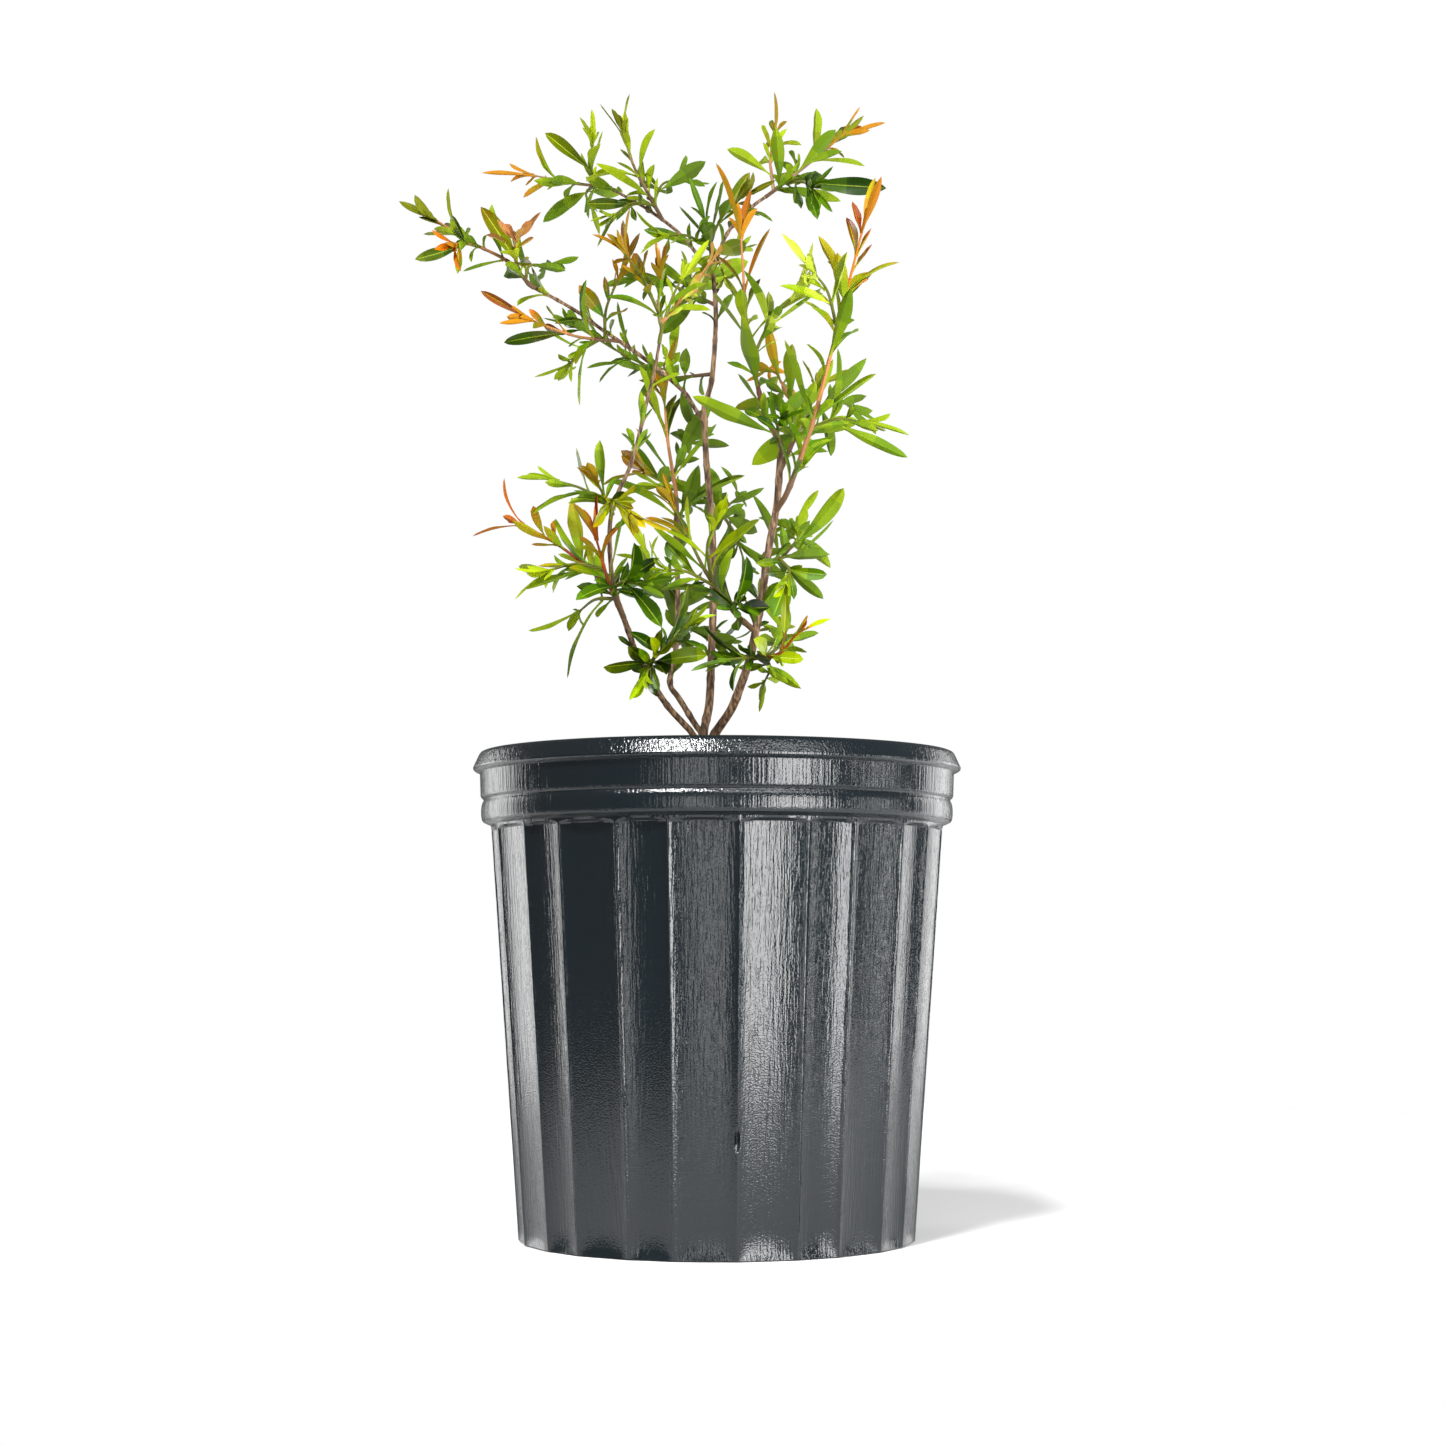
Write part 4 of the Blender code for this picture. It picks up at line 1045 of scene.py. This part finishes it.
def make_soil():
    """The mix that fills the pot, with a rough top, and the crumbs, bark chips and perlite that lie on it."""
    angles = [math.tau * a / SOIL_COLUMNS for a in range(SOIL_COLUMNS)]
    points = [around(angle, radius, height) for height, radius in SOIL_SIDE for angle in angles]
    for ring in range(SOIL_RINGS):
        for angle in angles:
            place = around(angle, SOIL_RADIUS * (1.0 - ring / SOIL_RINGS), SOIL_TOP)
            place.z = soil_height(place)
            points.append(place)
    faces = bridge_rings(SOIL_COLUMNS, len(SOIL_SIDE) + SOIL_RINGS)
    shape = Shape()
    shape.add(points, faces, [("soil",)] * len(faces))
    shape.make("potting_mix", ["soil"], mix_material)
    draw = random.Random(SEED)
    crumbs = Shape()
    for lumps in LUMPS:
        scatter(crumbs, *lumps, draw)
    crumbs.make("crumbs_bark_and_perlite", [], mix_material)


# Trunk and limbs


def fissures(far, outward, seed):
    """The bark's relief here, from -1 to 1: ridges that run along the wood."""
    rise = outward.z * FISSURES_AROUND + far * FISSURES_ALONG + seed * FISSURE_SHIFT
    place = Vector((outward.x * FISSURES_AROUND, outward.y * FISSURES_AROUND, rise))
    return sum(noise.noise(place * scale) * height for scale, height in FISSURE_SIZES)


def bark_radius(foot, tip, seed):
    """The radius of a limb with its relief and the ring that each pair of old leaves has left."""
    def radius(share, far, outward):
        from_node = (far + seed * NODE_SHIFT) % NODE_PITCH - NODE_PITCH * 0.5
        swell = NODE_SWELL * math.exp(-(from_node / NODE_HALF) ** 2)
        return (foot + (tip - foot) * share) * BARK_SHARE + swell + BARK_RELIEF * fissures(far, outward, seed)
    return radius


def trunk_radius(_share, far, outward):
    """The radius of the stool, with the flare's low ridges."""
    for (low, wide), (high, narrow) in zip(TRUNK_PROFILE, TRUNK_PROFILE[1:]):
        if far <= high:
            break
    plain = wide + (narrow - wide) * min(1.0, (far - low) / (high - low))
    around_it = TRUNK_RIDGES_AROUND * outward
    ridge = noise.noise(Vector((around_it.x, around_it.y, far * TRUNK_RIDGES_ALONG)))
    return plain * (1.0 + ridge * TRUNK_RIDGE) + TRUNK_RELIEF * fissures(far, outward, 0)


def make_bark(name, bark, *tube):
    shape = Shape()
    sweep(shape, *tube, lambda _share: ("bark",))
    shape.make(f"{name}_bark", [name], lambda _key: bark)


def make_trunk(bark):
    """The stool, from its flat foot on the mix to its fork."""
    heights = [height * TRUNK_STEP for height in range(int(TRUNK_PROFILE[-1][0] / TRUNK_STEP) + 1)]
    path = [Vector((*TRUNK_PLACE, SOIL_TOP + GAP + height)) for height in heights]
    make_bark("trunk", bark, path, TRUNK_SIDES, trunk_radius)


def make_limbs(bark):
    """The fine bark of each limb, from inside its parent, and the paths that the twigs leave from."""
    limbs = {}
    for number, (name, (parent, share, points, foot, tip)) in enumerate(LIMBS.items()):
        points = [Vector(point) for point in points]
        if parent == "trunk":
            along = (points[1] - points[0]).normalized()
            root = [Vector((*TRUNK_PLACE, FORK_HEIGHT)), points[0] - along * STUB_LENGTH]
        else:
            inside, start, along = leave_parent(limbs[parent], share, points[0], foot)
            root = [inside]
            points = [start, start + along * (foot * LIMB_START), *points]
        fine = smooth_path([*root, *points], FINE_STEP)
        make_bark(name, bark, fine, BARK_SIDES, bark_radius(foot, tip, number))
        limbs[name] = {"path": smooth_path(points, LIMB_STEP), "foot": foot, "tip": tip}
    return limbs


# Twigs and leaves


def grow_twigs(shoots, limbs, section):
    """The path of each shoot of the mass, a plain guide round it, and the place inside its parent."""
    paths = []
    guides = []
    roots = []
    for number, (parent, share, points, foot, *_leaves) in enumerate(shoots):
        points = [Vector(point) for point in points]
        if number == 0:
            root, start, along = leave_parent(limbs[parent], share, points[0], foot)
            if share == 1.0:
                points = [start + along * (foot * TWIG_START), *points]
        else:
            start, along = place_on(paths[parent], share)
            root = start
        path = shoot_path(start, along, points)
        guides.append(guide_round(path, taper(path, foot, TWIG_TIP), section))
        paths.append(path)
        roots.append(root)
    return paths, guides, roots


def zone(finish, tones, place):
    """The key of the tone at this place, from 0 to 1, among the tones, with a step half way between two."""
    steps = 2 * len(tones) - 1
    step = min(int(place * steps), steps - 1)
    return (finish, tones[step // 2], tones[(step + 1) // 2], "plain")


def fine_twig(shape, root, path, foot, nodes, tones):
    """Adds the bark of a shoot, from inside its parent to its bud, swollen at each pair of leaves."""
    fine = smooth_path(path, FINE_STEP)
    if (root - path[0]).length > 0.1:
        fine.insert(0, root)
    length = path_length(fine)

    def radius(share, far, _outward):
        swells = (math.exp(-((far / length - node) * length / TWIG_NODE_HALF) ** 2) for node in nodes)
        return foot + (TWIG_END - foot) * share + TWIG_SWELL * max(swells) * (1.0 - share * TWIG_SWELL_FALL)

    sweep(shape, fine, TWIG_RING, radius, lambda share: zone("twig", tones, share))


def young_zone(grade, tones, place):
    """The two tones to mix here: one end of a leaf is a step younger than the other."""
    step = min(int(place ** YOUNG_POWER * len(tones)), len(tones) - 1)
    younger = min(step + 1, len(tones) - 1)
    if grade < YOUNG_MIDDLE:
        return tones[step], tones[step]
    if grade < YOUNG_END:
        return tones[step], tones[younger]
    return tones[younger], tones[younger]


def fine_leaf(shape, leaf, tones, place, draw):
    """Adds a leaf's thin blade: folded along its midrib, bent, twisted and waved, on a short stalk."""
    root, along, face, long, wide, curl = leaf
    fold = math.radians(draw.uniform(*FOLD))
    twist = math.radians(draw.uniform(-TWIST, TWIST))
    fullest = draw.uniform(*FULLEST)
    blunt = draw.uniform(*BLUNT)
    waves = draw.uniform(*WAVES) * math.tau
    height = draw.uniform(*WAVE_HEIGHT)
    phase = draw.uniform(0.0, math.tau)
    tip_first = draw.random() < 0.5
    shade = draw.choice(tuple(SHADES))
    across = (*UPPER_COLUMNS, *UNDER_COLUMNS)
    upper = len(UPPER_COLUMNS)
    count = len(across)
    stations = max(LEAST_STATIONS, round(long / STATION_LENGTH))
    points = []
    keys = []
    for station in range(stations):
        share = station / stations
        turn = curl * share
        centre = bent_place(root, along, face, long, curl, share)
        ahead = along * math.cos(turn) - face * math.sin(turn)
        up = Quaternion(ahead, twist * share) @ (face * math.cos(turn) + along * math.sin(turn))
        side = ahead.cross(up)
        blade = max(0.0, (share - STALK_SHARE) / (1.0 - STALK_SHARE))
        half = max(STALK_HALF, wide * 0.5 * math.sin(math.pi * blade ** fullest) ** blunt)
        thick = BLADE_THICK + (STALK_THICK - BLADE_THICK) * max(0.0, 1.0 - share * STALK_FADE)
        for column, out in enumerate(across):
            reach = half * out
            wave = half * height * out * out * math.sin(waves * share + phase + out)
            lift = abs(reach) * math.sin(fold) + wave
            if column >= upper:
                lift -= thick * (1.0 if out else RIB_THICK)
            points.append(centre + side * (reach * math.cos(fold)) + up * lift)
        if station:
            step = young_zone(share * FOOT_GRADE if tip_first else 1.0 - share, tones, place)
            row = [("upper", *step, shade)] * (upper - 1) + [("lower", *step, "plain")] * (count - upper + 1)
            row[upper // 2 - 1] = ("rib", *step, "plain")
            keys += row
    points.append(bent_place(root, along, face, long, curl, 1.0))
    faces = bridge_rings(count, stations)[:-1]
    last = (stations - 1) * count
    faces += [(last + a, last + (a + 1) % count, last + count) for a in range(count)]
    shape.add(points, faces, [*keys, keys[0], *keys[-count:]])


def small_leaves(path, share, trees, draw):
    """Small young leaves at a node, or at the shoot's tip, clear of the limbs and the other masses."""
    place, along = place_on(path, share)
    counts, spreads, lengths = SMALL_AT_TIP if share == 1.0 else SMALL_AT_NODE
    turn = draw.uniform(0.0, math.tau)
    grown = []
    for _leaf in range(draw.choice(counts)):
        turn += SMALL_TURN
        spread = math.radians(draw.uniform(*spreads))
        heading, face = leaf_axes(along, turn, spread, draw.uniform(-SMALL_ROLL, SMALL_ROLL))
        long = draw.uniform(*lengths)
        wide = long * draw.uniform(*SMALL_BREADTH)
        leaf = (place, heading, face, long, wide, math.radians(draw.uniform(*SMALL_CURL)))
        if not touches(leaf_shape(*leaf, ROOM), trees):
            grown.append(leaf)
    return grown


def between_leaves(path, nodes, length, pitch, trees, own, draw, first=BETWEEN_FIRST):
    """Smaller leaves between the rule's own pairs, each clear of every other, with their shares."""
    reach = path_length(path)
    grown = []
    turn = draw.uniform(0.0, math.tau)
    share = first
    while share < BETWEEN_LAST:
        spot = place_on(path, share)
        turn += PAIR_TURN
        crowded = any(abs(share - node) * reach < NODE_ROOM for node in nodes)
        for half in range(2):
            if crowded or draw.random() > BETWEEN_CHANCE:
                continue
            spread = math.radians(draw.uniform(*BETWEEN_SPREAD) - BETWEEN_CLOSING * share)
            long = length * draw.uniform(*BETWEEN_LENGTH)
            wide = long * draw.uniform(*BETWEEN_BREADTH)
            curl = CURL_MIDDLE + swing(draw, CURL_JITTER)
            angles = (spread, swing(draw, ROLL_JITTER))
            first_try = turn + math.pi * half
            size = (long, wide, curl)
            found = clear_leaf(spot, first_try, BETWEEN_TRIES, angles, size, BETWEEN_ROOM, trees, own)
            grown += [(leaf, share) for leaf in found]
        share += draw.uniform(*pitch) / reach
    return grown


def make_spurs(limbs, trees):
    """Short-stalked leaves in pairs along the limbs themselves, where the boughs carry them."""
    for name, (first, last, length, tones) in SPURS.items():
        path = limbs[name]["path"]
        tones = tones.split()
        fine = random.Random(f"{SEED}-{name}-spurs")
        shape = Shape()
        for leaf, share in between_leaves(path, [], length, SPUR_PITCH, trees, [], fine, first):
            if share < last:
                fine_leaf(shape, leaf, tones, share * SPUR_AGE, fine)
                for small in small_leaves(path, share, trees, fine):
                    fine_leaf(shape, small, tones, share, fine)
        shape.make(f"{name}_leaves", [], tone_material)


def nearest_share(path, place):
    """The share of the path's length at which this place on it lies."""
    shares = [step / SEARCH_STEPS for step in range(SEARCH_STEPS + 1)]
    return min(shares, key=lambda share: (place_on(path, share)[0] - place).length)


def make_mass(stem, shoots, grown, trees):
    """Replaces a mass by fine twigs and leaves, placed by the rule that placed the frame's own."""
    name = f"{stem}_foliage"
    paths, guides, roots = grown
    own = list(guides)
    draw = random.Random(f"{SEED}-{name}")
    fine = random.Random(f"{SEED}-{name}-fine")
    twigs = Shape()
    leaves = Shape()
    for shoot, path, root in zip(shoots, paths, roots):
        foot, bare, pairs, length, breadth, colours = shoot[3:]
        bark, tones = (names.split() for names in colours.split(", "))
        nodes = pair_shares(bare, pairs)
        fine_twig(twigs, root, path, foot, nodes, bark)
        for leaf in leaves_on(path, bare, pairs, length, breadth, draw, trees, own):
            start, heading, face, long, wide, curl = leaf
            place = nearest_share(path, start)
            long *= 1.0 - fine.uniform(0.0, LEAF_SHRINK) * min(1.0, SHRINK_FADE - place * SHRINK_FADE)
            wide *= 1.0 - fine.uniform(0.0, LEAF_SHRINK) - TIP_SLENDER * place * place
            place = max(0.0, min(1.0, place + fine.uniform(*AGE_JITTER)))
            fine_leaf(leaves, (start, heading, face, long, wide, curl), tones, place, fine)
        for share in (*nodes, 1.0):
            for leaf in small_leaves(path, share, trees, fine):
                fine_leaf(leaves, leaf, tones, min(1.0, share + SMALL_OLDER), fine)
        for leaf, share in between_leaves(path, nodes, length, BETWEEN_PITCH, trees, own, fine):
            fine_leaf(leaves, leaf, tones, share * BETWEEN_AGE, fine)
    twigs.make(f"{stem}_twigs", [name], tone_material)
    leaves.make(f"{stem}_leaves", [name], tone_material)


# Stage


def make_lamp(name, kind, power):
    data = bpy.data.lights.new(name, kind)
    data.energy = power
    lamp = bpy.data.objects.new(name, data)
    link(lamp)
    return data, lamp


def make_lights():
    """The soft sun and the soft boxes."""
    data, lamp = make_lamp("soft_sun", "SUN", SUN_POWER)
    data.angle = SUN_ANGLE
    lamp.rotation_euler = Vector(SUN_PLACE).to_track_quat("Z", "Y").to_euler()
    for name, place, target, size, power in SOFT_BOXES:
        data, lamp = make_lamp(name, "AREA", power)
        data.shape = "RECTANGLE"
        data.size, data.size_y = size
        lamp.location = place
        lamp.visible_camera = False
        lamp.rotation_euler = (Vector(target) - Vector(place)).to_track_quat("-Z", "Y").to_euler()


def make_surround():
    """A dim pale surround that gives soft light, and that the camera sees as white."""
    world = bpy.data.worlds.new("surround")
    world.use_nodes = True
    tree = world.node_tree
    place = tree.nodes.new("ShaderNodeTexCoord").outputs["Generated"]
    parts = add_node(tree, "ShaderNodeSeparateXYZ", {}, {"Vector": place})
    dim = tree.nodes["Background"]
    tree.links.new(add_ramp(tree, SURROUND, parts.outputs["Z"]), dim.inputs["Color"])
    white = add_node(tree, "ShaderNodeBackground", {"Color": (1.0, 1.0, 1.0, 1.0)}, {})
    seen = tree.nodes.new("ShaderNodeLightPath").outputs["Is Camera Ray"]
    feeds = {"Fac": seen, 1: dim.outputs["Background"], 2: white.outputs["Background"]}
    both = add_node(tree, "ShaderNodeMixShader", {}, feeds)
    tree.links.new(both.outputs["Shader"], tree.nodes["World Output"].inputs["Surface"])
    bpy.context.scene.world = world


def make_floor():
    """A round pale floor."""
    bpy.ops.mesh.primitive_circle_add(
        vertices=FLOOR_SIDES, radius=FLOOR_RADIUS, fill_type="NGON", location=FLOOR_PLACE,
    )
    floor = bpy.context.object
    floor.name = "floor"
    floor.data.materials.append(material("pale_floor", FLOOR_COLOUR, 1.0)[0])


def make_camera():
    data = bpy.data.cameras.new("camera")
    data.sensor_width = SENSOR
    data.lens = FOCAL_PIXELS * SENSOR / PHOTO_SIDE
    camera = bpy.data.objects.new("camera", data)
    camera.location = CAMERA_PLACE
    tilt = math.atan((HORIZON_ROW - PHOTO_SIDE * 0.5) / FOCAL_PIXELS)
    camera.rotation_euler = (math.pi * 0.5 + tilt, 0.0, 0.0)
    link(camera)
    bpy.context.scene.camera = camera


def main():
    make_camera()
    make_floor()
    make_surround()
    make_lights()
    bpy.context.scene.view_settings.view_transform = "Standard"
    solid = [frame_tree(name) for name in ("pot", "soil", "trunk")]
    wooden = [frame_tree(name) for name in LIMBS]
    bark = bark_material()
    make_pot()
    make_soil()
    make_trunk(bark)
    limbs = make_limbs(bark)
    section = guide_section()
    grown = {stem: grow_twigs(shoots, limbs, section) for stem, shoots in MASSES.items()}
    bpy.data.objects.remove(section)
    masses = {stem: tree_of(guides) for stem, (_paths, guides, _roots) in grown.items()}
    for stem, shoots in MASSES.items():
        others = [tree for other, tree in masses.items() if other != stem]
        make_mass(stem, shoots, grown[stem], [*solid, *wooden, *others])
        masses[stem] = frame_tree(f"{stem}_foliage")
    make_spurs(limbs, [*solid, *masses.values()])


main()
